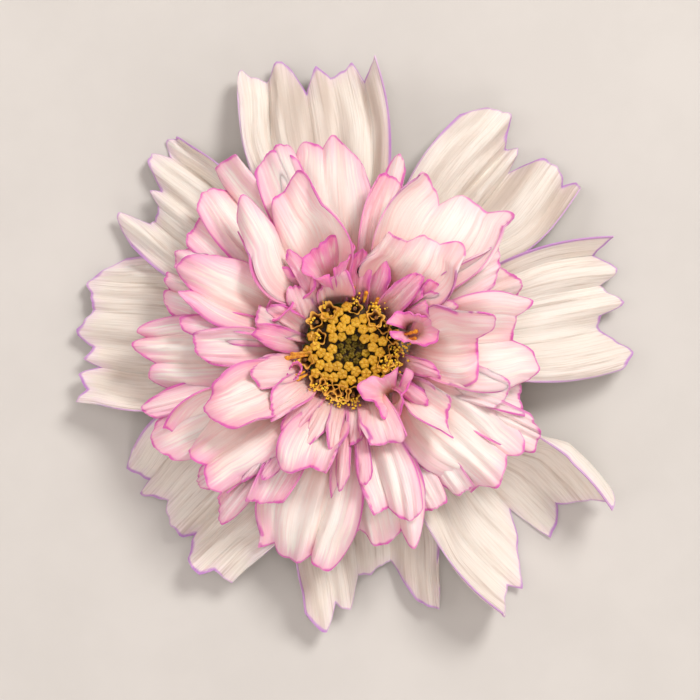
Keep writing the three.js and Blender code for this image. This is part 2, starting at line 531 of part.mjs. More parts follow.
function discFlorets() {
  const { radius, bottom } = DISC;
  const dome = [1, 0.7, 0.35, 0].map((s) => [radius * s, discHeight(radius * s)]);
  const core = turned([[0, bottom], [radius - 0.5, bottom], [radius - 0.1, bottom + 0.4], ...dome], 16);
  return fuse([core, ...budPlaces().map(bud), ...OPEN_FLORETS.map(openFloret)]);
}

// Calyx

const INNER_BRACT = { root: 5.5, length: 11.5, half: 2.4, from: 5.0, to: 5.2, lift: 6 };
const OUTER_BRACT = { root: 3.0, length: 10.5, half: 0.9, from: 4.2, to: 1.6, lift: 20 };
const BRACTS = 8;

function bract({ root, length, half, from, to, lift }, azimuth) {
  const start = plan(azimuth, root, from);
  const end = plan(azimuth, root + length, to);
  const side = plan(azimuth + 90, 1);
  const bow = Math.tan(radians(lift)) * length;
  const at = (u, v) => {
    const swell = 0.35 + 0.65 * Math.sin(Math.PI * Math.min(0.15 + v * 0.8, 1)) ** 0.8;
    const width = half * swell * (1 - v ** 4 * 0.75);
    const point = start.clone().lerp(end, v).addScaledVector(side, u * width);
    point.z += bow * v * (1 - v) + 0.15 * half * u * u;
    return point;
  };
  return blade(at, [-1, 0, 1], [0, 0.5, 1], BLADE);
}

function calyxAndStem() {
  const stem = [[0, 0], [STEM_RADIUS, 0], [STEM_RADIUS, 2.2]];
  const receptacle = [[1.6, 2.9], [3.4, 3.7], [6.2, 4.6], [7.4, 5.3], [6.6, CALYX_TOP], [0, CALYX_TOP]];
  const cup = turned([...stem, ...receptacle], 20);
  const bracts = [];
  for (let i = 0; i < BRACTS; i++) {
    const azimuth = (i * 360) / BRACTS + 5;
    bracts.push(bract(INNER_BRACT, azimuth), bract(OUTER_BRACT, azimuth + 180 / BRACTS));
  }
  return fuse([cup, ...bracts]);
}

const group = new THREE.Group();
group.position.set(AXIS_AT[0], AXIS_AT[1], 0);
group.add(
  meshOf("calyx_and_stem", calyxAndStem(), { color: 0x6f8f3c, roughness: 0.6 }),
  meshOf("outer_petals", outerPetals(), { color: 0xf3ece2, roughness: 0.55 }),
  meshOf("inner_petals", innerPetals(), { color: 0xf2cfdc, roughness: 0.55 }),
  meshOf("disc_florets", discFlorets(), { color: 0xcf9a1c, roughness: 0.7 }),
);

export default group;
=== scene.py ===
"""A double cosmos bloom lying face up on a pale floor, seen straight from above in soft studio light.

Lengths are in millimetres up to the meshes, which are in metres. The petals' formula and table are those of
the solid model, on a finer grid and as thin blades.
"""
import math

import bpy
import numpy as np
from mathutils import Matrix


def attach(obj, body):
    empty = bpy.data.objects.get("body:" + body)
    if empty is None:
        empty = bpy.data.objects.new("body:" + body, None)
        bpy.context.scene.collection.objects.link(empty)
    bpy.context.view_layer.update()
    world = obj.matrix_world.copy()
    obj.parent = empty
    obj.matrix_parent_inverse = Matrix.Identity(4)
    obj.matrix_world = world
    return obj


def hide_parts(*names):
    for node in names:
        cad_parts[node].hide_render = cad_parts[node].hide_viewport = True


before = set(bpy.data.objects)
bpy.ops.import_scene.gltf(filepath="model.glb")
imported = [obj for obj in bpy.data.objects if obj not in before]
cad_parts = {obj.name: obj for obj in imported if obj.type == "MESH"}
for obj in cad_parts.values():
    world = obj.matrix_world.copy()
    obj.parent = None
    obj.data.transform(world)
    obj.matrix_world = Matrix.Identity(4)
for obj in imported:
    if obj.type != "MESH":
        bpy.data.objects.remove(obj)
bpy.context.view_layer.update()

MM = 0.001
AXIS_AT = (-0.3, -0.6)  # where the flower's own axis stands in plan
PETAL_THICKNESS = 0.2
BRACT_THICKNESS = 0.35
POLE = 0.001  # radius of a turned shape where it closes
DISC = {"radius": 6.0, "bottom": 9.5, "rim": 11.4, "crown": 12.5}  # its radius and three heights
GOLDEN_ANGLE = 137.508

# Camera: its height, the height at which the petals are measured and mm a pixel there, where the flower's
# axis stands in the photographed frame, how many pixels wide that is, and the sensor's width
CAMERA_HEIGHT = 450.0
PETALS_HEIGHT = 10.0
PIXEL = 0.141
AXIS_PIXEL = (351.0, 350.0)
FRAME_PIXELS = 700
SENSOR = 36.0

# How a petal of each layer grows: root is its radius and rootHeight its height where it leaves the hub,
# up the slope there and down the slope at its tip, near and far the pull of the two slopes as shares of
# its length, claw half its width at the root, spread how late it widens, round the angle whose sine its
# width follows, cup how far its section bends at root and at tip, lean how far it turns about its midline
# towards its tip, pointed how straight its teeth are (all angles in degrees).
LAYERS = {
    "outer": {
        "root": 6.8, "rootHeight": 6.6, "up": 4, "down": -18, "near": 0.45, "far": 0.4,
        "claw": 1.6, "spread": 0.85, "round": 108, "cup": [30, 8], "wave": 0.1, "sway": 0.07, "pointed": 0.5,
    },
    "lower": {
        "root": 8.4, "rootHeight": 8.2, "up": 42, "down": -22, "near": 0.3, "far": 0.35,
        "claw": 0.9, "spread": 1.05, "round": 120, "cup": [55, 18], "lean": 9,
    },
    "middle": {
        "root": 8.6, "rootHeight": 8.4, "up": 60, "down": -24, "near": 0.42, "far": 0.35,
        "claw": 0.8, "spread": 1.15, "round": 122, "cup": [65, 26], "lean": 9,
    },
    "upper": {
        "root": 8.5, "rootHeight": 8.5, "up": 70, "down": -22, "near": 0.52, "far": 0.35,
        "claw": 0.7, "spread": 1.25, "round": 124, "cup": [70, 30], "lean": 9,
    },
    "inner": {
        "root": 7.0, "rootHeight": 8.6, "up": 76, "down": -10, "near": 0.7, "far": 0.4,
        "claw": 0.6, "spread": 1.1, "round": 122, "cup": [80, 40], "pointed": 0.5,
    },
}

# What a petal has where neither its layer nor its own row gives it: flute is how far in mm its lobes rise
# over its notches, and curlFrom the share of its length where its margins begin to roll.
USUAL = {"lean": 0, "flute": 1.0, "pointed": 0.1, "curlFrom": 0.3}

# What differs from petal to petal by seeded draws: twist, droop, bend of the tip and roll of each margin
# in degrees, and as shares of its width how far its margins wave along it and how far it sways across.
VARIETY = {"twist": 13, "down": 18, "cup": 35, "curl": 80, "wave": 0.3, "sway": 0.2}

# Each petal: its layer, the height of its tip, its cut edge in plan as azimuth and radius, and its own values.
# Among these, base is the azimuth of its root, and tint how strongly its margin blushes.
PETALS = [
    ["outer", 1.0, [[84, 40.2], [88, 38.1], [90.4, 40.9], [94.8, 39.1], [97, 40.6], [99.8, 37.2],
        [102.7, 42.3], [106.4, 40.6], [109.8, 42.0], [114, 38.5]], {"curl": [50, 80], "flute": 1.0}],
    ["outer", 0.75, [[35.2, 39.2], [38.4, 39.9], [39.8, 38.5], [43, 39.7], [46, 38.6],
        [48.6, 35.0], [50.3, 37.5], [52.5, 36.8], [56.8, 39.9], [61.1, 39.1], [65.4, 36.9]],
        {"curl": [110, 30], "flute": 1.0}],
    ["outer", 1.4, [[-4.3, 38.0], [-0.4, 39.7], [4.4, 36.7], [8.1, 36.8], [10, 39.1], [14, 37.2],
        [16.5, 39.7], [20.2, 37.5], [24, 39.5]], {"curl": [20, 50], "flute": 0.9}],
    ["outer", 0.5, [[-60.4, 42.4], [-58, 43.1], [-53.5, 40.3], [-52, 41.7], [-45.2, 33.0],
        [-44.2, 39.8], [-41, 37.6], [-40.4, 36.8], [-37.3, 39.9], [-35.9, 41.7], [-32.8, 40.6],
        [-30.8, 42.8]], {"curl": [70, 120], "flute": 1.1}],
    ["outer", 1.0, [[258.2, 34.5], [259.3, 37.3], [265, 40.2], [266.9, 36.1], [269.8, 37.1],
        [272.2, 32.4], [275, 32.5], [277.7, 31.4], [280.7, 31.2], [285.1, 37.2], [288.6, 38.8],
        [290.3, 36.1], [292.3, 32.7]], {"curl": [60, 40], "flute": 0.9}],
    ["outer", 2.5, [[204.3, 35.0], [207.6, 37.1], [212.7, 35.0], [214.2, 36.8], [219.6, 34.1],
        [224.5, 36.2], [227.9, 36.0], [229.6, 34.5], [231.9, 37.9], [236.1, 38.7], [238.2, 36.9],
        [243, 37.3], [246.1, 32.4]], {"curl": [40, 40], "flute": 0.9}],
    ["outer", 2.05, [[157.8, 35.5], [160.7, 37.5], [165.4, 39.2], [169.7, 37.8], [171, 37.2],
        [176.1, 39.4], [178.7, 37.1], [181, 38.1], [182.5, 36.1], [184, 38.8], [187, 37.8],
        [190.3, 39.4], [192.3, 36.9]], {"curl": [20, 100], "flute": 0.9}],
    ["outer", 0.6, [[128.2, 37.2], [130, 39.7], [132.9, 40.2], [134.3, 38.6], [136.1, 39.9],
        [140.4, 35.8], [141.6, 36.3], [143.1, 34.5], [146.4, 34.4], [147.8, 34.6], [149.4, 38.6],
        [152, 37.6], [154.5, 35.3]], {"curl": [110, 40], "flute": 1.0}],
    ["lower", 10.1, [[84.8, 24.8], [87, 26.8], [95.7, 29.9], [98, 28.5], [102.7, 30.0],
        [105.5, 28.5]], {}],
    ["lower", 9.9, [[105, 28.5], [108, 30.0], [112, 29.6], [114, 28.2]], {}],
    ["lower", 10.7, [[105.5, 27.5], [108, 28.8], [112.6, 29.8], [116, 29.0], [118.7, 28.1]], {}],
    ["lower", 9.5, [[120, 28.0], [121.5, 31.3], [126.8, 32.0], [127.4, 28.8], [132.5, 30.2],
        [138.6, 28.8]], {}],
    ["lower", 10.4, [[137, 26.5], [139.9, 28.0], [144.5, 28.0], [148, 27.0]], {}],
    ["lower", 10.7, [[147, 26.6], [151.6, 27.4], [155, 27.0]], {}],
    ["lower", 10.1, [[156, 26.5], [157.8, 28.0], [161.8, 27.0], [164, 27.4], [170, 24.5]], {}],
    ["lower", 10.0, [[171, 27.4], [175.9, 29.8], [177, 28.8], [178.6, 29.9], [183.8, 27.6],
        [187.6, 28.9], [191.5, 26.8]], {}],
    ["lower", 10.3, [[191.5, 26.0], [195.6, 30.3], [199.6, 28.6]], {}],
    ["lower", 10.3, [[200, 29.0], [205.6, 31.0], [210.1, 29.5], [214.7, 26.7]], {}],
    ["lower", 9.6, [[218, 27.0], [221, 28.2], [225, 27.6]], {}],
    ["lower", 9.9, [[228.3, 27.9], [233.7, 29.6], [236, 26.0]], {}],
    ["lower", 8.7, [[243.9, 29.8], [245.9, 31.8], [249.5, 30.6], [252.8, 31.5], [258.8, 29.6],
        [264.9, 30.3], [269.7, 26.8]], {}],
    ["lower", 11.3, [[268.5, 26.5], [272.2, 25.9], [278.1, 27.9], [285.7, 26.2], [290, 28.1],
        [295.2, 24.1]], {}],
    ["lower", 11.7, [[294, 24.5], [296.3, 25.0], [301.8, 25.1], [303.7, 23.5]], {}],
    ["lower", 10.8, [[303, 22], [307, 25], [313, 25]], {}],
    ["lower", 11.0, [[330, 28.5], [332.2, 29.3], [336.2, 29.0], [338.9, 27.3], [340.5, 26.5]], {}],
    ["lower", 12.2, [[339, 25.0], [344, 24.7], [349, 24.0]], {}],
    ["lower", 11.6, [[17, 24.0], [18.6, 24.9], [22.6, 25.7], [27, 24.5], [29, 23.8]], {}],
    ["lower", 11.1, [[73, 25.5], [76.3, 27.4], [79, 25.2]], {}],
    ["middle", 13.1, [[203.8, 28.2], [207, 27.8], [210.5, 26.4], [213.4, 26.9], [218.8, 25.9],
        [225, 27.3], [228.9, 26.4], [230, 23.5]], {}],
    ["middle", 13.6, [[234.5, 23.8], [236, 24.7], [241, 24.2], [246, 22.8]], {}],
    ["middle", 14.8, [[275.9, 20.7], [278.2, 23.2], [283.5, 22.7], [289.3, 24.7], [294.7, 23.9]], {}],
    ["middle", 13.0, [[306.7, 22.7], [309.6, 26.9], [313.1, 26.6], [317.7, 27.8], [322.1, 26.9],
        [325.9, 26.4], [329.3, 27.9], [331.8, 27.5], [336.1, 24.0]], {}],
    ["middle", 14.9, [[335.8, 18.3], [338.6, 21.6], [343.8, 22.3], [348.3, 22.0], [351.9, 19.5]], {}],
    ["middle", 13.8, [[-11.2, 23.8], [-8.5, 25.3], [-4.6, 26.0], [-1, 26.0], [2.9, 23.2],
        [11.7, 23.5], [15.4, 25.7], [18.5, 23.9]], {}],
    ["middle", 14.0, [[24, 20.5], [27.1, 22.1], [32.6, 24.1], [35.5, 24.3], [37, 22.0]], {}],
    ["middle", 13.8, [[40.3, 26.2], [43.2, 27.5], [46, 27.8], [48.8, 26.5], [54.5, 26.6],
        [57.2, 24.0], [61, 25.3], [64, 26.0], [67.2, 25.8], [70.6, 25.1]], {"curl": [60, 40],
        "twist": 4}],
    ["middle", 13.5, [[67, 23.2], [69, 24.3], [73, 23.9], [78.6, 25.0], [82.5, 23.7]],
        {"curl": [10, 60], "twist": 8}],
    ["middle", 15.1, [[143.4, 21.7], [145.8, 23.3], [154.7, 26.6], [159.2, 23.8], [162.7, 24.7],
        [166, 22.5]], {}],
    ["middle", 15.2, [[163, 18.0], [167, 21.5], [169.7, 24.0], [173, 23.5], [175, 21.5]], {}],
    ["middle", 15.9, [[171.6, 19.6], [174.5, 22.0], [180, 21.5], [184.3, 19.9], [188, 17.0]], {}],
    ["middle", 14.6, [[228.5, 22.3], [231, 23.4], [233, 21.3]], {}],
    ["middle", 15.9, [[234, 20.2], [236.5, 21.6], [239, 19.6]], {}],
    ["upper", 16.6, [[192, 18.5], [194.7, 19.7], [204, 20.7], [213, 19.0], [216.8, 16.9]], {}],
    ["upper", 15.4, [[101, 20.5], [102, 22.8], [108.8, 25.1], [116.5, 23.8], [121.7, 20.2],
        [124.8, 24.8], [129.4, 24.4], [133.5, 23.1], [135.7, 19.4]], {}],
    ["upper", 17.6, [[37.8, 18.5], [41, 20.6], [46.2, 21.5], [50.4, 19.1], [57, 18.9], [62, 16.9],
        [71.6, 17.7], [75.4, 15.1]], {"curl": [60, 40]}],
    ["upper", 17.7, [[-13, 17.9], [-9.5, 17.9], [5, 17.7], [9.6, 18.9], [13.4, 19.0], [18, 18.3],
        [21, 16.9]], {}],
    ["upper", 17.7, [[236.7, 18.2], [244, 18.6], [250, 17.2], [257.4, 17.4], [262.9, 14.5]], {}],
    ["upper", 17.8, [[318, 16.5], [319.8, 17.3], [327, 16.0], [333.5, 15.4], [335, 13.5]], {}],
    ["upper", 16.6, [[263, 17.5], [266, 19.0], [269, 17.5]], {}],
    ["upper", 16.6, [[274, 17.5], [277, 18.5], [280, 17.0]], {}],
    ["upper", 17.4, [[20, 15.0], [23, 15.9], [29.5, 14.9], [36.5, 13.5]], {"curl": [30, 30]}],
    ["inner", 17.0, [[92, 10.9], [97, 11.1], [104, 10.5], [113, 9.7], [122, 9.2]], {"base": 108,
        "up": 82, "down": -45, "claw": 1.9, "cup": [40, -10], "tint": 0.6}],
    ["inner", 17.5, [[115.5, 11.5], [118, 14.5], [122, 16.2], [125.5, 15.5], [127, 12.5]],
        {"cup": [60, -60], "down": -25, "tint": 1.0}],
    ["inner", 15.6, [[125, 9.8], [130, 11.4], [137, 12.1], [144, 11.2]], {"twist": 18, "base": 146,
        "root": 6.9, "up": 84, "down": -20, "claw": 1.6, "cup": [30, 10], "tint": 0.6}],
    ["inner", 16.0, [[145, 10.6], [150, 12.6], [158, 13.3], [165, 12.0]], {"twist": -35,
        "curl": [140, 20], "base": 160, "up": 80, "down": -30, "claw": 1.5, "cup": [40, 0],
        "tint": 0.6}],
    ["inner", 15.2, [[150, 12.4], [156, 13.9], [162, 13.8], [167, 12.2]], {"twist": 25,
        "curl": [20, 150], "claw": 1.3, "down": -20, "tint": 0.3}],
    ["inner", 16.8, [[162, 11.2], [166, 13.0], [171, 13.2], [176, 12.2], [180, 10.4]],
        {"base": 174, "up": 80, "down": -40, "claw": 1.4, "cup": [40, 0], "curl": [120, 10],
        "tint": 1.2}],
    ["inner", 16.4, [[184, 11.8], [189, 13.4], [196, 14.3], [203, 13.6]], {"twist": 30,
        "curl": [150, 30], "base": 196, "claw": 1.4, "cup": [50, -15], "tint": 0.4}],
    ["inner", 16.9, [[206, 10.8], [212, 12.6], [219, 14.0], [224.5, 14.6], [228, 12.6]],
        {"base": 215, "claw": 1.3, "cup": [60, 40], "twist": 30, "curl": [150, 20], "tint": 0.5}],
    ["inner", 16.2, [[226, 13.4], [230, 14.9], [235, 15.4], [239, 11.6]], {"base": 233,
        "claw": 1.2, "tint": 0.7}],
    ["inner", 16.6, [[239, 11.4], [246, 15.0], [253, 11.8]], {"twist": 25, "pointed": 0.8,
        "claw": 1.2, "cup": [60, -20], "tint": 0.15}],
    ["inner", 16.3, [[252, 11.2], [256, 13.8], [260, 14.0], [264, 10.8]], {"twist": -40,
        "curl": [160, -20], "claw": 1.2, "cup": [60, -10], "tint": 0.15}],
    ["inner", 15.2, [[268, 12.6], [271, 13.4], [274, 13.2], [277, 12.4]], {"twist": 35,
        "claw": 0.9, "tint": 0.4}],
    ["inner", 14.9, [[274.5, 10.4], [278, 12.2], [283, 10.4]], {"pointed": 0.8, "tint": 1.2}],
    ["inner", 16.6, [[281, 12.9], [286, 13.4], [292, 13.9], [297, 14.3], [302, 13.9]],
        {"twist": -20, "curl": [160, 60], "claw": 1.6, "down": -60, "cup": [50, 25], "tint": 0.6}],
    ["inner", 15.0, [[320, 12.0], [325, 13.2], [331, 12.0]], {"claw": 1.2, "tint": 0.9}],
    ["inner", 16.5, [[338.8, 10.1], [343.6, 13.0], [348, 12.5], [353, 10.8]], {"twist": 30,
        "claw": 1.3, "cup": [60, -10], "curl": [60, 100], "tint": 0.9}],
    ["inner", 17.4, [[41, 12.2], [46, 14.4], [51, 14.0], [57, 11.5]], {"claw": 1.0,
        "cup": [100, 60], "tint": 0.9}],
    ["inner", 15.0, [[60, 11.2], [67, 13.6], [75, 12.4]], {"twist": -30, "claw": 1.5, "tint": 1.4}],
    ["inner", 15.4, [[76, 12.2], [83, 14.2], [90, 12.2]], {"claw": 1.5, "tint": 1.4}],
]

# Petals grown into a split trumpet: its foot and the middle of its mouth as azimuth, radius and height,
# the mouth's half widths across and outwards, its lobes, how high they wave, and the direction its split
# faces.
TRUMPETS = [
    {"foot": [312, 8.9, 8.8], "mouth": [311, 7.7, 15.6], "across": 3.4, "outward": 3.0,
        "lobes": 3, "lift": 0.6, "split": 250},
    {"foot": [17, 9.0, 8.8], "mouth": [19, 9.2, 16.6], "across": 2.9, "outward": 2.8,
        "lobes": 2, "lift": 0.8, "split": 200},
    {"foot": [136, 9.4, 8.8], "mouth": [137, 12.2, 16.6], "across": 3.7, "outward": 2.6,
        "lobes": 3, "lift": 0.8, "split": 100},
    {"foot": [105, 8.8, 8.8], "mouth": [104, 13.4, 18.4], "across": 3.1, "outward": 2.7,
        "lobes": 2, "lift": 0.9, "split": 180},
    {"foot": [201, 8.3, 8.8], "mouth": [200, 8.4, 14.4], "across": 1.1, "outward": 1.0,
        "lobes": 2, "lift": 0.3, "split": 20},
    {"foot": [33, 9.2, 8.8], "mouth": [31, 13.6, 17.0], "across": 2.2, "outward": 1.8,
        "lobes": 2, "lift": 0.6, "split": 210},
]
TRUMPET_BORE = 0.75
TRUMPET_TURN = 172  # degrees from the middle of its wall to the split

# Relief of every petal, in mm or as shares of its half width
RUFFLE = 0.09  # depth of a slow ruffle, a share
MARGIN_RUFFLE = 0.55 * RUFFLE  # depth of a quicker one at the margins
CREASE = 0.9  # how sharp the crests of the pleats are, below 1
GROOVE_HALF = 0.09  # half the breadth of a groove, a share
CRIMP_DEPTH = 0.14
RESTING = 0.6  # how gently in mm what would dip into the table comes to rest on it

# pleats is how many pleats cross a petal from its middle to a side, pleated how deep they are as a share of
# its half width, ragged how far in mm its cut edge is frayed, and grooved how deep in mm the groove is that
# runs up to each notch.
RAY_RELIEF = {"pleats": 3.1, "pleated": 0.055, "ragged": 0.22, "grooved": 0.8}
PETAL_RELIEF = {"pleats": 1.7, "pleated": 0.07, "ragged": 0.06, "grooved": 0.65}

# Points across and along the grid of a ray, of a pink petal, of a trumpet and of a bract
RAY_GRID = (61, 54)
PETAL_GRID = (41, 40)
TRUMPET_GRID = (91, 30)
BRACT_GRID = (17, 40)
MIDLINE_STEPS = 401


def smoothstep(x, start, end):
    """0 below start, 1 above end, and a cubic ease between them."""
    f = np.clip((x - start) / (end - start), 0, 1)
    return f * f * (3 - 2 * f)


def plan(azimuth, radius):
    """The point at an azimuth in degrees and a radius, in plan."""
    a = np.radians(azimuth)
    return np.stack([radius * np.cos(a), radius * np.sin(a)], -1)


def spot(azimuth, radius, height):
    """The point at an azimuth in degrees, a radius and a height."""
    return np.array([*plan(azimuth, radius), height])


def sloped(ahead, slope):
    """The unit direction that rises by a slope in degrees over a direction in plan."""
    a = math.radians(slope)
    return np.array([*(ahead * math.cos(a)), math.sin(a)])


def draw(n, kind):
    """A fixed draw between -1 and 1: the fractional part of a large sine.

    Each value of a piece has a kind of its own.
    """
    x = math.sin(n * 12.9898 + kind * 78.233) * 43758.5453
    return 2 * (x - math.floor(x)) - 1


def petal_values(row, number):
    """A petal's values: the usual ones and its draws, its relief, its layer's, and last its own row's."""
    layer, _, _, own = row
    rolls = [draw(number, 8), draw(number, 9)]
    shape = dict(USUAL)
    shape["curl"] = [VARIETY["curl"] * (0.4 * np.sign(d) + 0.6 * d) for d in rolls]
    shape["wave"] = VARIETY["wave"]
    shape["sway"] = VARIETY["sway"]
    shape["twist"] = VARIETY["twist"] * draw(number, 1)
    shape["wavePhase"] = math.pi * draw(number, 2)
    shape.update(RAY_RELIEF if layer == "outer" else PETAL_RELIEF)
    shape.update(LAYERS[layer])
    shape.update(own)
    shape["down"] += VARIETY["down"] * draw(number, 3)
    tip_cup = 0 if "cup" in own else VARIETY["cup"] * draw(number, 12)
    shape["cup"] = [shape["cup"][0], shape["cup"][1] + tip_cup]
    return shape


def petal_shape(row, number):
    """A petal's values, its midline and where the marks of its cut edge lie along and across it.

    The midline is a cubic Bezier curve from root to tip, which leaves at one slope and arrives at another.
    """
    _, tip_height, cut, _ = row
    shape = petal_values(row, number)
    cut = np.array(cut, float)
    azimuth = (cut[0, 0] + cut[-1, 0]) / 2
    root = plan(shape.get("base", azimuth), shape["root"])
    ahead = plan(azimuth, cut[:, 1].mean()) - root
    ahead /= np.linalg.norm(ahead)
    left = np.array([-ahead[1], ahead[0]])
    marks = plan(cut[:, 0], cut[:, 1]) - root
    distance = marks @ ahead
    reach = distance.max()

    start = np.array([*root, shape["rootHeight"]])
    end = np.array([*(root + ahead * reach), tip_height])
    leave = sloped(root / np.linalg.norm(root), shape["up"])
    arrive = sloped(ahead, shape["down"])
    pulls = [start + shape["near"] * reach * leave, end - shape["far"] * reach * arrive]
    shape["midline"] = [start, *pulls, end]
    shape["heading"] = (math.atan2(root[1], root[0]), math.atan2(ahead[1], ahead[0]))
    shape["length"] = np.linalg.norm(end - start)

    steps = np.linspace(0, 1, MIDLINE_STEPS)
    passed = (bezier(shape["midline"], steps)[:, :2] - root) @ ahead
    shape["shares"] = np.interp(distance, passed, steps)
    sides = marks @ left
    shape["half"] = (-sides[0], sides[-1])
    shape["columns"] = np.where(sides < 0, sides / -sides[0], sides / sides[-1])
    return shape


def bezier(p, t):
    """The point a share t along a cubic Bezier curve."""
    t = np.asarray(t, float)[..., None]
    return (1 - t) ** 3 * p[0] + 3 * (1 - t) ** 2 * t * p[1] + 3 * (1 - t) * t ** 2 * p[2] + t ** 3 * p[3]


def bezier_slope(p, t):
    """The unit direction of a cubic Bezier curve a share t along it."""
    t = np.asarray(t, float)[..., None]
    d = (1 - t) ** 2 * (p[1] - p[0]) + 2 * (1 - t) * t * (p[2] - p[1]) + t ** 2 * (p[3] - p[2])
    return d / np.linalg.norm(d, axis=-1, keepdims=True)


def section(q, cup, rolled, steps=16):
    """A petal's section out to a share q of its half width: even bends of the cup, and more at its margin."""
    x = np.zeros_like(q)
    y = np.zeros_like(q)
    for n in range(steps):
        s = q * (n + 0.5) / steps
        bend = cup * s + rolled * np.maximum((s - 0.5) / 0.5, 0) ** 1.5
        x += np.cos(bend) * q / steps
        y += np.sin(bend) * q / steps
    return x, y


def cut_edge(shape, u):
    """The share of the midline that the cut edge reaches at each u, eased from mark to mark."""
    columns, shares = shape["columns"], shape["shares"]
    i = np.clip(np.searchsorted(columns, u, side="right") - 1, 0, len(columns) - 2)
    f = np.clip((u - columns[i]) / (columns[i + 1] - columns[i]), 0, 1)
    eased = np.where(shares[i + 1] > shares[i], np.sin(np.pi / 2 * f), 1 - np.cos(np.pi / 2 * f))
    return shares[i] + (shares[i + 1] - shares[i]) * (eased + (f - eased) * shape["pointed"])


def petal_grid(shape, number, size):
    """A petal's grid: u across from -1 to 1, the cut edge at each u, and t, the share of the midline.

    A column runs along the midline to its own share of it, frayed a little by two quick sines, and there is a
    column at each mark of the cut edge. Rows lie closer towards the tip.
    """
    wide, tall = size
    u = np.concatenate([np.linspace(-1, 1, wide), shape["columns"][1:-1]])
    u = np.unique(np.round(u, 4))[None, :]
    v = 1 - (1 - np.linspace(0, 1, tall)) ** 1.25
    v = v[:, None]
    edge = cut_edge(shape, u)
    frayed = np.sin(17 * u + number) + 0.6 * np.sin(41 * u + 2 * number)
    t = np.minimum(v * (edge + shape["ragged"] / shape["length"] * frayed * (1 - u * u)), 1)
    return u + 0 * v, edge, t


def sided(u, pair):
    """The first of a pair on the clockwise side of a petal, and the second on its other side."""
    return np.where(u < 0, pair[0], pair[1])


def petal_width(shape, u, t):
    """Half a petal's width on the side of each point: it opens from the claw as a sine, past its crest."""
    corner = sided(u, (shape["shares"][0], shape["shares"][-1]))
    to_corner = np.minimum(t / corner, 1)
    widest = np.radians(shape["round"])
    opening = np.sin(to_corner ** shape["spread"] * widest) / np.sin(widest)
    return shape["claw"] + (sided(u, shape["half"]) - shape["claw"]) * opening


def petal_section(shape, u, edge, t, width):
    """How far across the midline each point of a petal lies, and how far over it.

    Its place is on an arc whose bend grows outwards, so that margins lift or roll. Lobes are raised, margins
    wave along the petal, and the petal sways across.
    """
    cup = np.radians(shape["cup"][0] + (shape["cup"][1] - shape["cup"][0]) * t ** 0.8)
    rolled = np.radians(sided(u, shape["curl"])) * smoothstep(t, shape["curlFrom"], shape["curlFrom"] + 0.4)
    x, y = section(np.abs(u), cup, rolled)
    stretch = width / np.maximum(section(np.ones_like(u), cup, rolled)[0], 0.6)
    lobes = 2 * (edge - shape["shares"].mean()) / (np.ptp(shape["shares"]) + 1e-6)
    wave = shape["wave"] * width * t * u * u * np.sin(shape["wavePhase"] + 5 * t)
    sway = shape["sway"] * width * t ** 1.5 * np.sin(3.2 * u + 2 * shape["wavePhase"])
    return np.sign(u) * x * stretch, y * stretch + shape["flute"] * t ** 1.5 * lobes + wave + sway


def with_relief(raised, shape, number, u, t, width):
    """The heights over the midline with a petal's fine relief added.

    A slow ruffle grows along the petal, and a quicker one along its margins. Pleats with creased crests run
    in a fan, deeper where the petal is broader, and drift and fade across it. A groove runs up to each notch,
    a mark of the cut edge that lies further in than both its neighbours. Small crimps cross near the tip.
    """
    phase = 6 * draw(number, 4)
    raised = raised + RUFFLE * width * t ** 2 * np.sin(5.5 * u + 6 * t + 3 * phase)
    raised = raised + MARGIN_RUFFLE * width * t * np.abs(u) ** 3 * np.sin(13 * t + 5 * phase)

    fan = shape["pleats"] * u + 0.5 * np.sin(2.3 * u + 2.1 * t + phase)
    depth = shape["pleated"] * width * smoothstep(t, 0.1, 0.6) * (0.6 + 0.4 * np.sin(4.1 * u + 2 * phase))
    raised = raised + depth * np.arcsin(CREASE * np.sin(2 * np.pi * fan + phase))

    columns, shares = shape["columns"], shape["shares"]
    for notch in columns[1:-1][(shares[1:-1] < shares[:-2]) & (shares[1:-1] < shares[2:])]:
        drift = notch + 0.03 * np.sin(7 * t + phase)
        groove = shape["grooved"] * np.exp(-((u - drift) / GROOVE_HALF) ** 2) * smoothstep(t, 0.15, 0.8)
        raised = raised - groove
    return raised + CRIMP_DEPTH * t ** 3 * np.sin(9 * u + 3 * phase) * np.sin(14 * t + phase)


def along_midline(shape, t, across, raised):
    """A petal's points: its sections set square to the midline and turned about it by its twist and lean."""
    middle = bezier(shape["midline"], t)
    along = bezier_slope(shape["midline"], t)
    turn = shape["heading"][1] - shape["heading"][0]
    heading = shape["heading"][0] + math.atan2(math.sin(turn), math.cos(turn)) * t
    sideways = np.stack([-np.sin(heading), np.cos(heading), 0 * t], -1)
    upright = np.cross(along, sideways)
    upright /= np.linalg.norm(upright, axis=-1, keepdims=True)
    twist = (np.radians(shape["twist"] + shape["lean"]) * t ** 1.3)[..., None]
    across, raised = across[..., None], raised[..., None]
    points = middle + sideways * (np.cos(twist) * across - np.sin(twist) * raised)
    points += upright * (np.sin(twist) * across + np.cos(twist) * raised)
    return points


def petal_surface(shape, number, size):
    """A petal's grid of points, with u across it and t along its midline.

    What would dip into the table rests on it: a height becomes the mean of itself and of its length taken
    together with RESTING, which leaves it as it is well over the table and brings it to 0 well under.
    """
    u, edge, t = petal_grid(shape, number, size)
    width = petal_width(shape, u, t)
    across, raised = petal_section(shape, u, edge, t, width)
    raised = with_relief(raised, shape, number, u, t, width)
    points = along_midline(shape, t, across, raised)
    height = points[..., 2]
    points[..., 2] = (height + np.sqrt(height ** 2 + RESTING ** 2)) / 2
    return points, u, t


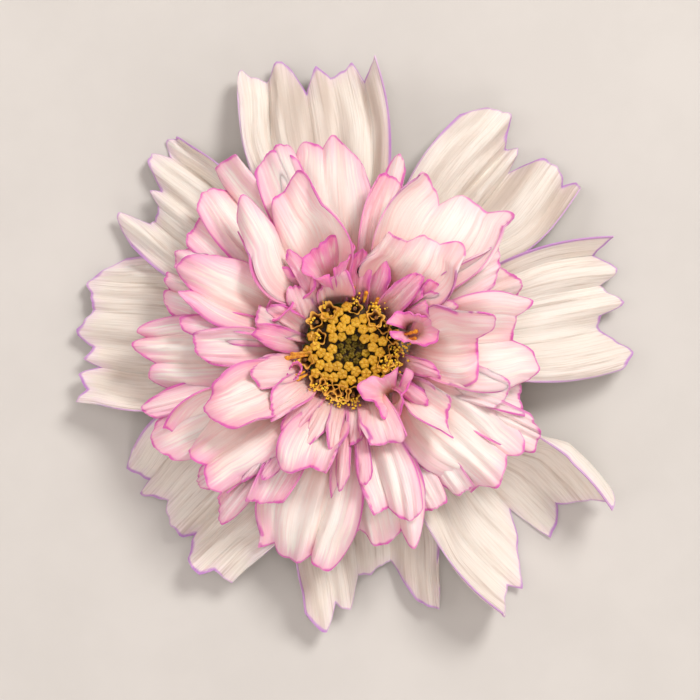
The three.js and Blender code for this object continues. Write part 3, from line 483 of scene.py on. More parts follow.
def trumpet_surface(row, size):
    """A trumpet's grid: u runs round it from one side of its split to the other, v from its foot to its rim.

    It widens slowly, then faster, and its height levels off, so that its rim flares. The rim is lobed, waved
    and crimped.
    """
    wide, tall = size
    u = np.linspace(-1, 1, wide)[None, :]
    v = np.linspace(0, 1, tall)[:, None]
    start = spot(*row["foot"])
    end = spot(*row["mouth"])
    out = spot(row["mouth"][0], 1.0, 0)
    left = np.array([-out[1], out[0], 0])
    angle = np.radians(row["split"] + 180 + TRUMPET_TURN * u)
    opened = 0.65 * v + 0.35 * v ** 3.5
    swell = 1 + 0.32 * v * v * np.cos(row["lobes"] * angle + row["split"])
    swell = swell + 0.05 * v ** 4 * np.sin(11 * angle + row["split"])
    wide_half = (TRUMPET_BORE + (row["across"] - TRUMPET_BORE) * opened) * swell
    deep_half = (TRUMPET_BORE + (row["outward"] - TRUMPET_BORE) * opened) * swell
    share = np.stack([v ** 1.5, v ** 1.5, 1 - (1 - v) ** 1.5], -1)
    wave = row["lift"] * v * v * np.sin((row["lobes"] + 1) * angle + 2 * row["split"])
    wave = wave + 0.12 * v ** 3 * np.sin(13 * angle + 3 * row["split"])
    points = start + (end - start) * share - left * (np.sin(angle) * wide_half)[..., None]
    points = points + out * (np.cos(angle) * deep_half)[..., None]
    points[..., 2] += wave
    return points, u + 0 * v, v + 0 * u


def margin_distance(points, block=4000):
    """How far each point of a grid lies from its free margin, measured straight, a block at a time."""
    margin = np.concatenate([points[:, 0], points[-1], points[:, -1]])
    flat = points.reshape(-1, 3)
    nearest = np.empty(len(flat))
    for a in range(0, len(flat), block):
        gap = flat[a:a + block, None, :] - margin[None]
        nearest[a:a + block] = np.sqrt((gap ** 2).sum(-1)).min(1)
    return nearest.reshape(points.shape[:2])


def blade(points, thickness):
    """The closed blade of even thickness round a grid: two like grids and a wall along their edge."""
    along = np.gradient(points, axis=0)
    across = np.gradient(points, axis=1)
    normal = np.cross(along, across)
    normal /= np.linalg.norm(normal, axis=-1, keepdims=True) + 1e-12
    tall, wide = points.shape[:2]
    upper = (points + normal * thickness / 2).reshape(-1, 3)
    lower = (points - normal * thickness / 2).reshape(-1, 3)
    index = np.arange(tall * wide).reshape(tall, wide)
    a, b, c, d = index[:-1, :-1], index[1:, :-1], index[1:, 1:], index[:-1, 1:]
    top = np.stack([a, b, c, d], -1).reshape(-1, 4)
    under = len(upper)
    ring = np.concatenate([index[0, :0:-1], index[:-1, 0], index[-1, :-1], index[:0:-1, -1]])
    after = np.roll(ring, -1)
    wall = np.stack([ring + under, after + under, after, ring], -1)
    return np.concatenate([upper, lower]), np.concatenate([top, top[:, ::-1] + under, wall])


def piece(name, parts, material, nodes, sharp=50):
    """One object from parts of points in millimetres, faces and named attributes, riding on the root."""
    points = np.concatenate([p["points"] for p in parts])
    points = (points + [AXIS_AT[0], AXIS_AT[1], 0]) * MM
    offsets = np.cumsum([0] + [len(p["points"]) for p in parts[:-1]])
    faces = [f for p, o in zip(parts, offsets) for f in (p["faces"] + o).tolist()]
    mesh = bpy.data.meshes.new(name)
    mesh.from_pydata(points.tolist(), [], faces)
    for key in parts[0].get("attributes", {}):
        values = np.concatenate([p["attributes"][key] for p in parts]).astype(np.float32)
        store = mesh.attributes.new(key, "FLOAT_VECTOR", "POINT")
        store.data.foreach_set("vector", values.ravel())
    mesh.polygons.foreach_set("use_smooth", np.ones(len(mesh.polygons), bool))
    mesh.set_sharp_from_angle(angle=math.radians(sharp))
    mesh.materials.append(material)
    mesh.validate()
    made = bpy.data.objects.new(name, mesh)
    bpy.context.scene.collection.objects.link(made)
    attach(made, "root")
    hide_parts(*nodes)


# Materials

def new_material(name):
    """An empty material with its Principled shader."""
    material = bpy.data.materials.new(name)
    material.use_nodes = True
    tree = material.node_tree
    shader = tree.nodes["Principled BSDF"]
    return material, tree, shader


def add(tree, kind, **values):
    """A node with its properties and input values set by name."""
    made = tree.nodes.new(kind)
    for key, value in values.items():
        if key in made.inputs:
            made.inputs[key].default_value = value
        else:
            setattr(made, key, value)
    return made


def maths(tree, operation, a, b=0.0, clamp=False):
    """A Math node whose inputs are sockets or numbers; gives its output."""
    made = tree.nodes.new("ShaderNodeMath")
    made.operation = operation
    made.use_clamp = clamp
    for socket, value in zip(made.inputs, (a, b)):
        if isinstance(value, (int, float)):
            socket.default_value = value
        else:
            tree.links.new(value, socket)
    return made.outputs[0]


def mixed(tree, factor, a, b):
    """A colour mix whose inputs are sockets or colours; gives its output."""
    made = tree.nodes.new("ShaderNodeMix")
    made.data_type = "RGBA"
    for socket, value in ((made.inputs[0], factor), (made.inputs[6], a), (made.inputs[7], b)):
        if isinstance(value, (int, float)):
            socket.default_value = value
        elif isinstance(value, tuple):
            socket.default_value = (*value, 1)
        else:
            tree.links.new(value, socket)
    return made.outputs[2]


def ranged(tree, value, low, high, out_low=0.0, out_high=1.0, smooth=True):
    """A clamped map of a value from one range to another."""
    made = tree.nodes.new("ShaderNodeMapRange")
    made.interpolation_type = "SMOOTHSTEP" if smooth else "LINEAR"
    tree.links.new(value, made.inputs[0])
    for socket, number in zip(made.inputs[1:5], (low, high, out_low, out_high)):
        if isinstance(number, (int, float)):
            socket.default_value = number
        else:
            tree.links.new(number, socket)
    return made.outputs[0]


def times(tree, a, b, clamp=False):
    """The product of two sockets or numbers."""
    return maths(tree, "MULTIPLY", a, b, clamp)


def parts_of(tree, vector):
    """The three values of a vector."""
    split = add(tree, "ShaderNodeSeparateXYZ")
    tree.links.new(vector, split.inputs[0])
    return split.outputs


def own_values(tree):
    """The three values of a piece's own attribute."""
    return parts_of(tree, add(tree, "ShaderNodeAttribute", attribute_name="own").outputs["Vector"])


def object_noise(tree, scale, detail=3.0):
    """Noise on Object coordinates."""
    place = add(tree, "ShaderNodeTexCoord")
    noise = add(tree, "ShaderNodeTexNoise", Scale=scale, Detail=detail, Roughness=0.6)
    tree.links.new(place.outputs["Object"], noise.inputs["Vector"])
    return noise.outputs[0]


def finish_skin(tree, shader, colour, height, roughness, relief):
    """Gives a shader its colour, its roughness, and a relief in mm from a height between 0 and 1."""
    bump = add(tree, "ShaderNodeBump", Strength=0.7, Distance=relief * MM)
    tree.links.new(height, bump.inputs["Height"])
    tree.links.new(bump.outputs[0], shader.inputs["Normal"])
    tree.links.new(colour, shader.inputs["Base Color"])
    tree.links.new(roughness, shader.inputs["Roughness"])


def let_light_in(shader, weight, radius, scale):
    """Lets light scatter under the skin, over a distance of scale in mm, farther in the colours of radius."""
    shader.inputs["Subsurface Weight"].default_value = weight
    shader.inputs["Subsurface Radius"].default_value = radius
    shader.inputs["Subsurface Scale"].default_value = scale * MM


def speckled_material(name, dark, light, scale, roughness=0.7, subsurface=0.2):
    """A skin mottled between two colours by noise, with a matching relief."""
    material, tree, shader = new_material(name)
    noise = object_noise(tree, scale, 4.0)
    colour = mixed(tree, ranged(tree, noise, 0.35, 0.65), dark, light)
    rough = ranged(tree, noise, 0.3, 0.7, roughness - 0.1, roughness + 0.1)
    finish_skin(tree, shader, colour, noise, rough, relief=0.07)
    let_light_in(shader, subsurface, radius=(1.0, 0.6, 0.3), scale=0.6)
    return material


# The petal pattern's sockets. Growth is u, t and the distance from the margin in mm, and Own is a petal's
# tint, shade and seed.
PATTERN_INPUTS = {
    "Vector": ("Growth", "Own"),
    "Color": ("Base", "Shade", "Root and depth shade", "Blush", "Rim"),
    "Float": ("Rim width", "Blush width", "Streaks"),
}
PATTERN_OUTPUTS = {"Color": ("Colour",), "Float": ("Height", "Roughness")}

# Noise of the petal pattern: cells across the half width, cells along the length, and detail
BROAD_STREAKS = (3.0, 1.4, 2.0)
FINE_STREAKS = (17.0, 1.7, 4.0)
VEINS = (62.0, 4.0, 3.0)
SEED_STEP = 37.0  # how far apart in the noise the petals' patterns lie


def pattern_group():
    """The petal pattern's node group, the values given to it and the sockets for its results."""
    tree = bpy.data.node_groups.new("petal_pattern", "ShaderNodeTree")
    for side, sockets in (("INPUT", PATTERN_INPUTS), ("OUTPUT", PATTERN_OUTPUTS)):
        for kind, names in sockets.items():
            for name in names:
                tree.interface.new_socket(name, in_out=side, socket_type="NodeSocket" + kind)
    given = tree.nodes.new("NodeGroupInput").outputs
    result = tree.nodes.new("NodeGroupOutput").inputs
    return tree, given, result


def streak(tree, place, across_cells, along_cells, detail):
    """Noise stretched along the petal, other for each seed; place is across, along and seed."""
    moved = add(tree, "ShaderNodeCombineXYZ")
    for value, cells, axis in zip(place, (across_cells, along_cells, SEED_STEP), moved.inputs):
        tree.links.new(times(tree, value, cells), axis)
    noise = add(tree, "ShaderNodeTexNoise", Scale=1.0, Detail=detail, Roughness=0.6)
    tree.links.new(moved.outputs[0], noise.inputs["Vector"])
    return noise.outputs[0]


def blush_mask(tree, width, along, margin, fine):
    """How strongly a point blushes: most at the margin and far out, in tongues of uneven length."""
    reach = times(tree, width, ranged(tree, fine, 0.25, 0.75, 0.35, 1.7))
    near_margin = maths(tree, "POWER", ranged(tree, margin, 0.0, reach, 1.0, 0.0, False), 1.25)
    return times(tree, near_margin, ranged(tree, along, 0.2, 0.75, 0.45, 1.0))


def rim_mask(tree, width, along, margin, broad):
    """How strongly a point takes the rim colour: in a line of uneven breadth, faint near the root."""
    edge = times(tree, width, ranged(tree, broad, 0.3, 0.7, 0.6, 1.5))
    line = ranged(tree, margin, times(tree, edge, 0.35), edge, 1.0, 0.0)
    outward = ranged(tree, along, 0.1, 0.6, 0.3, 0.95)
    return times(tree, line, times(tree, outward, ranged(tree, broad, 0.3, 0.65, 0.5, 1.0)))


def petal_pattern():
    """The group that colours a petal from where a point lies on it.

    Streaks are noise stretched along the petal. The base colour turns to the shade in broad streaks, then to
    the root colour near the root, which is partly the petal's own deeper tone and partly painted warm shade
    deep in the bloom, and to the blush near the margin, both broken by finer streaks. Streaks and veins of the
    shade line it, and a narrow line of the rim colour edges it.
    """
    tree, given, result = pattern_group()
    across, along, margin = parts_of(tree, given["Growth"])
    tint, shade, seed = parts_of(tree, given["Own"])
    place = (across, along, seed)
    broad = streak(tree, place, *BROAD_STREAKS)
    fine = streak(tree, place, *FINE_STREAKS)
    veins = streak(tree, place, *VEINS)

    shading = times(tree, ranged(tree, broad, 0.35, 0.7), shade, True)
    shaded = mixed(tree, shading, given["Base"], given["Shade"])

    # Painted shade in part: near the root, deep in the bloom, the root colour adds the warm shade that falls
    # there to the petal's own deeper tone
    toward_root_and_shade = ranged(tree, along, 0.1, 0.68, 1.0, 0.0)
    broken = ranged(tree, fine, 0.3, 0.7, 0.45, 1.0)
    root_and_shade_mix = times(tree, times(tree, toward_root_and_shade, broken), 0.9, True)
    root_and_shade_coloured = mixed(tree, root_and_shade_mix, shaded, given["Root and depth shade"])

    blush = blush_mask(tree, given["Blush width"], along, margin, fine)
    blushed = mixed(tree, times(tree, blush, tint, True), root_and_shade_coloured, given["Blush"])

    streaking = times(tree, ranged(tree, fine, 0.52, 0.72), given["Streaks"], True)
    streaked = mixed(tree, streaking, blushed, given["Shade"])
    lining = times(tree, ranged(tree, veins, 0.42, 0.68, 0.0, 0.4), given["Streaks"], True)
    veined = mixed(tree, lining, streaked, given["Shade"])

    rim = rim_mask(tree, given["Rim width"], along, margin, broad)
    rimmed = mixed(tree, rim, veined, given["Rim"])

    relief = maths(tree, "ADD", times(tree, fine, 0.6), times(tree, veins, 0.4))
    tree.links.new(rimmed, result["Colour"])
    tree.links.new(relief, result["Height"])
    tree.links.new(ranged(tree, fine, 0.2, 0.8, 0.5, 0.68), result["Roughness"])
    return tree


def petal_material(name, group, colours, rim_width, blush_width, streaks, subsurface=0.6, relief=0.28):
    """A petal's skin: the shared pattern with its own colours, a fine relief and light through the blade."""
    material, tree, shader = new_material(name)
    pattern = add(tree, "ShaderNodeGroup", node_tree=group)
    for key, colour in zip(PATTERN_INPUTS["Color"], colours):
        pattern.inputs[key].default_value = (*colour, 1)
    for key, value in zip(PATTERN_INPUTS["Float"], (rim_width, blush_width, streaks)):
        pattern.inputs[key].default_value = value
    for key in ("growth", "own"):
        source = add(tree, "ShaderNodeAttribute", attribute_name=key)
        tree.links.new(source.outputs["Vector"], pattern.inputs[key.capitalize()])
    finish_skin(tree, shader, *(pattern.outputs[key] for key in ("Colour", "Height", "Roughness")), relief)
    let_light_in(shader, subsurface, radius=(1.0, 0.82, 0.76), scale=0.4)
    shader.inputs["Specular IOR Level"].default_value = 0.22
    return material


# Petals

# Colours of a blade: base, streaks of shade, root, blush and rim. All the pink petals share their rim.
# The root colours of the pink layers are partly their own deeper rose and partly painted warm shade deep in
# the bloom.
RAY_COLOURS = (
    (0.89, 0.83, 0.77), (0.56, 0.48, 0.42), (0.88, 0.82, 0.66), (0.84, 0.68, 0.78), (0.5, 0.25, 0.6),
)
RIM_COLOUR = (0.68, 0.13, 0.48)
THROAT_COLOUR = (0.96, 0.66, 0.2)
LAYER_COLOURS = {
    "lower": ((0.98, 0.92, 0.87), (0.9, 0.66, 0.62), (0.93, 0.5, 0.42), (0.88, 0.37, 0.6)),
    "middle": ((0.98, 0.91, 0.86), (0.91, 0.61, 0.59), (0.93, 0.42, 0.35), (0.88, 0.32, 0.58)),
    "upper": ((0.98, 0.89, 0.84), (0.91, 0.55, 0.54), (0.94, 0.42, 0.35), (0.87, 0.28, 0.54)),
    "inner": ((0.98, 0.85, 0.8), (0.92, 0.5, 0.52), (0.95, 0.4, 0.33), (0.86, 0.26, 0.53)),
}

# Widths in mm of the rim and of the blush along the margin, how strong streaks and veins are, and the depth
# in mm of the relief
RAY_SKIN = {"rim_width": 0.45, "blush_width": 2.0, "streaks": 0.8, "relief": 0.4}
PINK_SKIN = {"rim_width": 0.42, "blush_width": 3.4, "streaks": 0.75}
TRUMPET_SKIN = {"rim_width": 0.36, "blush_width": 4.0, "streaks": 0.7}


def grown_part(points, u, t, own, thickness=PETAL_THICKNESS):
    """A blade that holds where each of its points lies on it, and its own tint, shade and seed."""
    vertices, faces = blade(points, thickness)
    growth = np.stack([u, t, margin_distance(points)], -1).reshape(-1, 3)
    attributes = {"growth": np.tile(growth, (2, 1)), "own": np.tile(np.array(own), (len(vertices), 1))}
    return {"points": vertices, "faces": faces, "attributes": attributes}


def petal_part(number, size):
    """One petal as a thin blade, tinted more towards the west of the bloom."""
    row = PETALS[number]
    shape = petal_shape(row, number)
    points, u, t = petal_surface(shape, number, size)
    west = -math.cos(shape["heading"][1])
    tint = shape.get("tint", 0.62 + 0.26 * west + 0.16 * draw(number, 5))
    return grown_part(points, u, t, [tint, 0.5 + 0.4 * draw(number, 6), 0.5 + 0.5 * draw(number, 7)])


def trumpet_part(row, number):
    """One trumpet as a thin blade, tinted strongly."""
    points, u, t = trumpet_surface(row, TRUMPET_GRID)
    return grown_part(points, u, t, [1.1 + 0.3 * draw(number, 5), 0.5, 0.5 + 0.5 * draw(number, 7)])


def petals_of(layer, size):
    """The parts of every petal of a layer."""
    return [petal_part(n, size) for n, row in enumerate(PETALS) if row[0] == layer]


def make_petals():
    """The rays, the four layers of pink petals and the trumpets, whose throats are yellow."""
    group = petal_pattern()
    cream = petal_material("ray_petal_skin", group, RAY_COLOURS, **RAY_SKIN)
    piece("ray_petals", petals_of("outer", RAY_GRID), cream, ["outer_petals"])
    for layer, colours in LAYER_COLOURS.items():
        skin = petal_material(layer + "_petal_skin", group, (*colours, RIM_COLOUR), **PINK_SKIN)
        piece(layer + "_petals", petals_of(layer, PETAL_GRID), skin, ["inner_petals"])
    base, shade, _, blush = LAYER_COLOURS["inner"]
    throat_colours = (base, shade, THROAT_COLOUR, blush, RIM_COLOUR)
    throat = petal_material("trumpet_skin", group, throat_colours, **TRUMPET_SKIN)
    trumpets = [trumpet_part(row, n) for n, row in enumerate(TRUMPETS)]
    piece("trumpet_petals", trumpets, throat, ["inner_petals"])


# Disc

# Open florets of the disc: azimuth, radius, grains of pollen on it, and how far outwards they lie. The
# closed buds keep clear of them.
OPEN_FLORETS = [
    [120, 6.1, 9, 0.9],
    [140.6, 5.7, 7, 0.8],
    [84.5, 5.4, 12, 1.1],
    [59, 6.4, 22, 0.7],
    [51.9, 5.0, 0, 0],
    [34.6, 5.2, 16, 0.6],
    [158.8, 4.2, 10, 0.1],
    [0, 5.3, 30, 0.5],
    [339.5, 4.4, 18, 0],
    [342.8, 6.5, 26, 0.6],
    [223.3, 6.4, 14, 1.0],
    [235.5, 5.5, 10, 0.3],
    [247, 6.3, 8, 1.1],
    [258.7, 6.0, 14, 1.3],
    [272.7, 5.7, 20, 1.1],
    [192, 6.2, 4, 0.9],
    [18, 5.6, 12, 0.2],
]
# The spiral of closed buds: how many places it has, how many in its middle are young, the area in mm2 that a
# young and a grown one take, and how far in mm they keep from an open floret and from the edge of the disc
BUD_COUNT = 84
YOUNG_BUDS = 12
YOUNG_AREA = 0.82
BUD_AREA = 1.48
FLORET_ROOM = 1.0
EDGE_ROOM = 0.2

FOOT = 0.8  # how deep in mm a bud or a floret stands in the dome

# A closed bud over its foot: shares of its radius and of its height, and how far its five lips swell
BUD = [[0.78, 0.4, 0.5], [0.97, 0.8, 1], [0.98, 0.9, 1.1], [0.82, 0.97, 1.3], [0.4, 1, 1]]

# An open floret's thin-walled bell, from the foot up its outside and down its inside: radius, height, how far
# its five lips swell, how near the rim and how deep inside
BELL = [
    [POLE, -FOOT, 0, 0, 0], [0.4, -FOOT, 0, 0, 0], [0.5, 0.5, 0.2, 0, 0], [0.74, 1.2, 0.7, 0.1, 0],
    [0.97, 1.7, 1, 0.4, 0], [1.12, 1.95, 1.4, 0.9, 0], [1.1, 2.03, 1.4, 1, 0], [0.98, 1.95, 1.2, 0.8, 0.1],
    [0.76, 1.5, 0.8, 0.1, 0.6], [0.48, 0.95, 0.3, 0, 1], [0.2, 0.7, 0, 0, 1], [POLE, 0.68, 0, 0, 1],
]

# The column of anthers in an open floret, and a spent one with a swollen ragged end whose heights are shares
# of its length: radius, height and how far it is lobed
COLUMN = [[POLE, 0.4, 0], [0.2, 0.5, 0], [0.22, 1.7, 0], [0.27, 2.1, 0], [POLE, 2.2, 0]]
SPENT_ANTHER = [
    [POLE, 0, 0], [0.16, 0.05, 0], [0.18, 0.35, 1], [0.24, 0.55, 1], [0.2, 0.75, 1],
    [0.32, 0.88, 1], [0.26, 0.98, 1], [POLE, 1, 0],
]

# Spent anthers that lie outwards: azimuth, radius and height of the foot, length and lean
SPENT_ANTHERS = [
    [187, 5.9, 13.1, 3.5, 84],
    [184, 6.0, 12.9, 2.6, 80],
    [205, 7.0, 13.0, 3.4, 86],
    [209, 6.9, 12.8, 2.6, 82],
    [88, 7.0, 12.8, 2.4, 55],
    [75, 6.9, 12.6, 2.0, 50],
    [62, 6.8, 12.8, 1.8, 50],
    [16, 7.6, 13.6, 2.4, 60],
    [10, 7.6, 13.4, 2.0, 55],
    [146, 8.4, 13.0, 2.4, 70],
]

# Grains of pollen: the least and the greatest radius in mm, how far they spread in height, and their seed
GRAIN_RADIUS = (0.1, 0.24)
GRAIN_RISE = 0.16
POLLEN_SEED = 200


def disc_height(radius):
    """The dome's height, lower at its rim and with a shallow dip in the middle."""
    share = radius / DISC["radius"]
    return DISC["crown"] - (DISC["crown"] - DISC["rim"]) * share ** 2 - 0.5 * np.exp(-((radius / 1.8) ** 2))


def on_dome(azimuth, radius):
    """The point of the dome at an azimuth and a radius."""
    return spot(azimuth, radius, disc_height(radius))


def turned(profile, sides, lobes=0, depth=0.0):
    """A solid of revolution from rows of radius, height and how far it is lobed there."""
    profile = np.array(profile, float)
    a = np.linspace(0, 2 * np.pi, sides, endpoint=False)
    swell = 1 + depth * np.cos(lobes * a)[None, :] * profile[:, 2:3]
    r = profile[:, :1] * swell
    rings = np.stack([r * np.cos(a), r * np.sin(a), profile[:, 1:2] + 0 * a], -1)
    index = np.arange(len(profile) * sides).reshape(len(profile), sides)
    after = np.roll(index, -1, axis=1)
    quads = np.stack([index[:-1], after[:-1], after[1:], index[1:]], -1).reshape(-1, 4)
    return rings.reshape(-1, 3), quads


def stood(points, place, azimuth, lean):
    """Points leaned outwards about Y, turned to their azimuth and moved to their place."""
    a, b = math.radians(lean), math.radians(azimuth)
    tilt = np.array([[math.cos(a), 0, math.sin(a)], [0, 1, 0], [-math.sin(a), 0, math.cos(a)]])
    spin = np.array([[math.cos(b), -math.sin(b), 0], [math.sin(b), math.cos(b), 0], [0, 0, 1]])
    return points @ (spin @ tilt).T + place


def held(points, *values):
    """Three values held by each of the points, from numbers or rows of them."""
    return np.stack([np.broadcast_to(value, len(points)) for value in values], -1)


def bud_places():
    """Closed buds on a golden-angle spiral, small in the middle, full-grown round it, clear of open florets.

    A place's radius is that of a circle of the area which the buds before it take.
    """
    open_at = np.array([plan(row[0], row[1]) for row in OPEN_FLORETS])
    places = []
    for n in range(BUD_COUNT):
        crowded = YOUNG_AREA * (min(n, YOUNG_BUDS) + 0.2) + BUD_AREA * max(n - YOUNG_BUDS, 0)
        radius = math.sqrt(crowded / math.pi)
        azimuth = n * GOLDEN_ANGLE
        clear = np.linalg.norm(open_at - plan(azimuth, radius), axis=1).min() > FLORET_ROOM
        if clear and radius < DISC["radius"] - EDGE_ROOM:
            places.append((azimuth, radius))
    return places


def bud_part(azimuth, radius):
    """A closed bud: a tube that widens to a flat five-pointed top, where its lips meet in a shallow star."""
    grown = float(smoothstep(radius, 1.5, 2.3))
    r = 0.45 + 0.29 * grown
    h = 1.0 + 0.9 * grown + 0.12 * draw(azimuth, 4)
    profile = [[POLE, -FOOT, 0], [r * 0.72, -FOOT, 0]]
    profile += [[r * across, h * up, lips] for across, up, lips in BUD]
    profile += [[POLE, h * 0.95, 0]]
    points, faces = turned(profile, 20, 5, 0.075)
    around = np.arctan2(points[:, 1], points[:, 0])
    points[:, 2] += 0.06 * np.cos(5 * around) * (points[:, 2] > h * 0.85)
    # Its own values: how grown it is, a chance, and the share of its height, by which the skin paints shade
    # down its sides
    own = held(points, grown, 0.5 + 0.5 * draw(azimuth, 3), np.clip(points[:, 2] / h, 0, 1))
    lean = radius * 3 + 4 * draw(azimuth, 5)
    leaned = stood(points, on_dome(azimuth, radius), azimuth, lean)
    return {"points": leaned, "faces": faces, "attributes": {"own": own}}


def floret_parts(azimuth, radius, number):
    """An open floret: its bell, the dark column of anthers in its mouth, and where the column ends."""
    place = on_dome(azimuth, min(radius, DISC["radius"] - 0.5))
    lean = 6 + radius * 3 + 6 * draw(number, 8)
    size = 1 + 0.12 * draw(number, 6)
    sides = 30
    bell = np.array(BELL)
    points, faces = turned(bell * [size, size, 1, 1, 1], sides, 5, 0.13)
    around = np.arctan2(points[:, 1], points[:, 0])
    swell, rim, inside = (np.repeat(bell[:, k], sides) for k in (2, 3, 4))
    points[:, 2] += (0.1 * np.cos(5 * around) + 0.1 * np.sin(2 * around + number)) * swell
    # The skin paints shade deeper down the mouth by how deep inside a point lies
    own = held(points, rim, inside, 0.5 + 0.5 * draw(number, 3))
    spin = azimuth + 36 * draw(number, 2)
    spun = stood(points, 0 * place, spin - azimuth, 0)
    flower = {"points": stood(spun, place, azimuth, lean), "faces": faces, "attributes": {"own": own}}
    points, faces = turned(COLUMN, 10)
    tilt = lean + 10 * draw(number, 11)
    column = {"points": stood(points, place, azimuth, tilt), "faces": faces}
    crown = stood(np.array([[0, 0, COLUMN[-1][1]]]), place, azimuth, tilt)[0]
    return flower, column, crown


def anther_part(azimuth, radius, height, length, lean):
    """A spent column of anthers that lies outwards over the petals."""
    points, faces = turned(np.array(SPENT_ANTHER) * [1, length, 1], 12, 3, 0.2)
    return {"points": stood(points, spot(azimuth, radius, height), azimuth, lean), "faces": faces}


def pollen_part(centre, number, count, spread):
    """A heap of small grains round a centre, each a six-sided bead."""
    rng = np.random.default_rng(POLLEN_SEED + number)
    parts = []
    for _ in range(count):
        size = rng.uniform(*GRAIN_RADIUS)
        waist = [[size * 0.8, -size * 0.5, 0], [size * 0.85, size * 0.45, 0]]
        points, faces = turned([[POLE, -size, 0], *waist, [POLE, size, 0]], 6)
        shift = rng.normal(0, [spread, spread, GRAIN_RISE])
        parts.append({"points": points + centre + shift, "faces": faces})
    return parts


def bud_material():
    """Buds: olive where young, golden where grown, grained on top, and painted near-black down their sides as
    the shade in the gaps between them.
    """
    material, tree, shader = new_material("bud_skin")
    grown, chance, height = own_values(tree)
    noise = object_noise(tree, 1500.0)
    gold = mixed(tree, chance, (0.5, 0.26, 0.008), (0.7, 0.4, 0.02))
    young = mixed(tree, chance, (0.09, 0.062, 0.004), (0.2, 0.14, 0.008))
    body = mixed(tree, grown, young, gold)
    # Painted shade: below their tops the sides turn near-black, the shade that falls in the narrow gaps
    # between buds
    painted_gap_shade = mixed(tree, ranged(tree, height, 0.78, 0.985), (0.07, 0.025, 0.002), body)
    speckle = times(tree, ranged(tree, noise, 0.45, 0.7, 0.0, 0.5), grown)
    grained = mixed(tree, speckle, painted_gap_shade, (0.85, 0.55, 0.06))
    finish_skin(tree, shader, grained, noise, ranged(tree, noise, 0.3, 0.7, 0.45, 0.65), relief=0.05)
    let_light_in(shader, 0.15, radius=(1.0, 0.6, 0.1), scale=0.3)
    return material


def floret_material():
    """Open florets: ochre outside, a bright rim, and red-brown down the mouth, painted darker to black deeper
    in as the shade inside it.
    """
    material, tree, shader = new_material("floret_skin")
    rim, inside, chance = own_values(tree)
    noise = object_noise(tree, 1800.0)
    outside = mixed(tree, chance, (0.38, 0.18, 0.008), (0.52, 0.28, 0.015))
    # Painted shade: the red-brown wall of the mouth turns near-black deeper inside, where shade falls
    mouth = mixed(tree, ranged(tree, inside, 0.2, 0.9), (0.3, 0.1, 0.01), (0.015, 0.006, 0.002))
    wall = mixed(tree, ranged(tree, inside, 0.05, 0.4), outside, mouth)
    gilded = mixed(tree, noise, (0.62, 0.28, 0.02), (0.95, 0.6, 0.12))
    edged = mixed(tree, ranged(tree, rim, 0.3, 0.8), wall, gilded)
    finish_skin(tree, shader, edged, noise, ranged(tree, noise, 0.3, 0.7, 0.45, 0.65), relief=0.05)
    return material


def dome_part():
    """The dome on which buds and florets stand, a little narrower at its foot; its near-black colour is
    painted shade in the gaps between them.
    """
    profile = [[POLE, DISC["bottom"], 0], [DISC["radius"] - 0.5, DISC["bottom"], 0]]
    profile += [[r, disc_height(r), 0] for r in np.linspace(DISC["radius"] - 0.1, POLE, 14)]
    points, faces = turned(profile, 48)
    return {"points": points, "faces": faces}


def pollen_parts(crowns):
    """The grains on every open floret, heaped where its column ends and shifted outwards by its row."""
    grains = []
    for n, ((azimuth, _, count, outwards), crown) in enumerate(zip(OPEN_FLORETS, crowns)):
        heap = crown + spot(azimuth, outwards, -0.25 * abs(outwards))
        grains += pollen_part(heap, n, count, 0.2 + 0.012 * count)
    return grains


def make_disc():
    """The dome with its closed buds, open florets, columns of anthers, spent anthers and pollen."""
    made = [floret_parts(row[0], row[1], n) for n, row in enumerate(OPEN_FLORETS)]
    bells, columns, crowns = zip(*made)
    # Painted shade: the dome is near-black so that the gaps between buds and florets read as deep shade
    dark = speckled_material("disc_floor_shade_skin", (0.03, 0.012, 0.003), (0.1, 0.05, 0.01), 900.0)
    column_skin = speckled_material("anther_column_skin", (0.06, 0.02, 0.006), (0.3, 0.13, 0.02), 2500.0)
    spent_skin = speckled_material("spent_anther_skin", (0.45, 0.13, 0.008), (0.85, 0.42, 0.02), 2200.0)
    pollen_skin = speckled_material("pollen_skin", (0.78, 0.42, 0.012), (0.95, 0.66, 0.06), 3000.0, 0.85)
    rows = {
        "disc_dome": ([dome_part()], dark),
        "closed_buds": ([bud_part(*place) for place in bud_places()], bud_material()),
        "open_florets": (bells, floret_material()),
        "anther_columns": (columns, column_skin),
        "spent_anthers": ([anther_part(*row) for row in SPENT_ANTHERS], spent_skin),
        "pollen_grains": (pollen_parts(crowns), pollen_skin),
    }
    for name, (parts, skin) in rows.items():
        piece(name, parts, skin, ["disc_florets"])


# Calyx

# A bract: root and from are the radius and height where it starts, half is half its breadth, to the height of
# its tip, and lift the slope in degrees at which it sets out over the straight line to its tip
INNER_BRACT = {"root": 5.5, "length": 11.5, "half": 2.4, "from": 5.0, "to": 5.2, "lift": 6}
OUTER_BRACT = {"root": 3.0, "length": 10.5, "half": 0.9, "from": 4.2, "to": 1.6, "lift": 20}
BRACTS = 8
BRACT_TURN = 5  # degrees from the x axis to the first inner bract
INNER_BRACT_SKIN = {"rim_width": 0.12, "blush_width": 0.7, "streaks": 0.5, "subsurface": 0.2}
OUTER_BRACT_SKIN = {"rim_width": 0.05, "blush_width": 0.3, "streaks": 0.5, "subsurface": 0.15}
INNER_BRACT_COLOURS = (
    (0.36, 0.42, 0.13), (0.24, 0.3, 0.07), (0.3, 0.38, 0.1), (0.62, 0.6, 0.34), (0.5, 0.42, 0.25),
)
OUTER_BRACT_COLOURS = (
    (0.18, 0.28, 0.06), (0.11, 0.19, 0.035), (0.24, 0.33, 0.08), (0.26, 0.36, 0.1), (0.2, 0.16, 0.08),
)

# The stem's stub and the receptacle over it, as radius and height
STEM_PROFILE = [
    [0, 0], [1.15, 0], [1.15, 2.2], [1.6, 2.9], [3.4, 3.7], [6.2, 4.6], [7.4, 5.3], [6.6, 5.7], [0, 5.7],
]


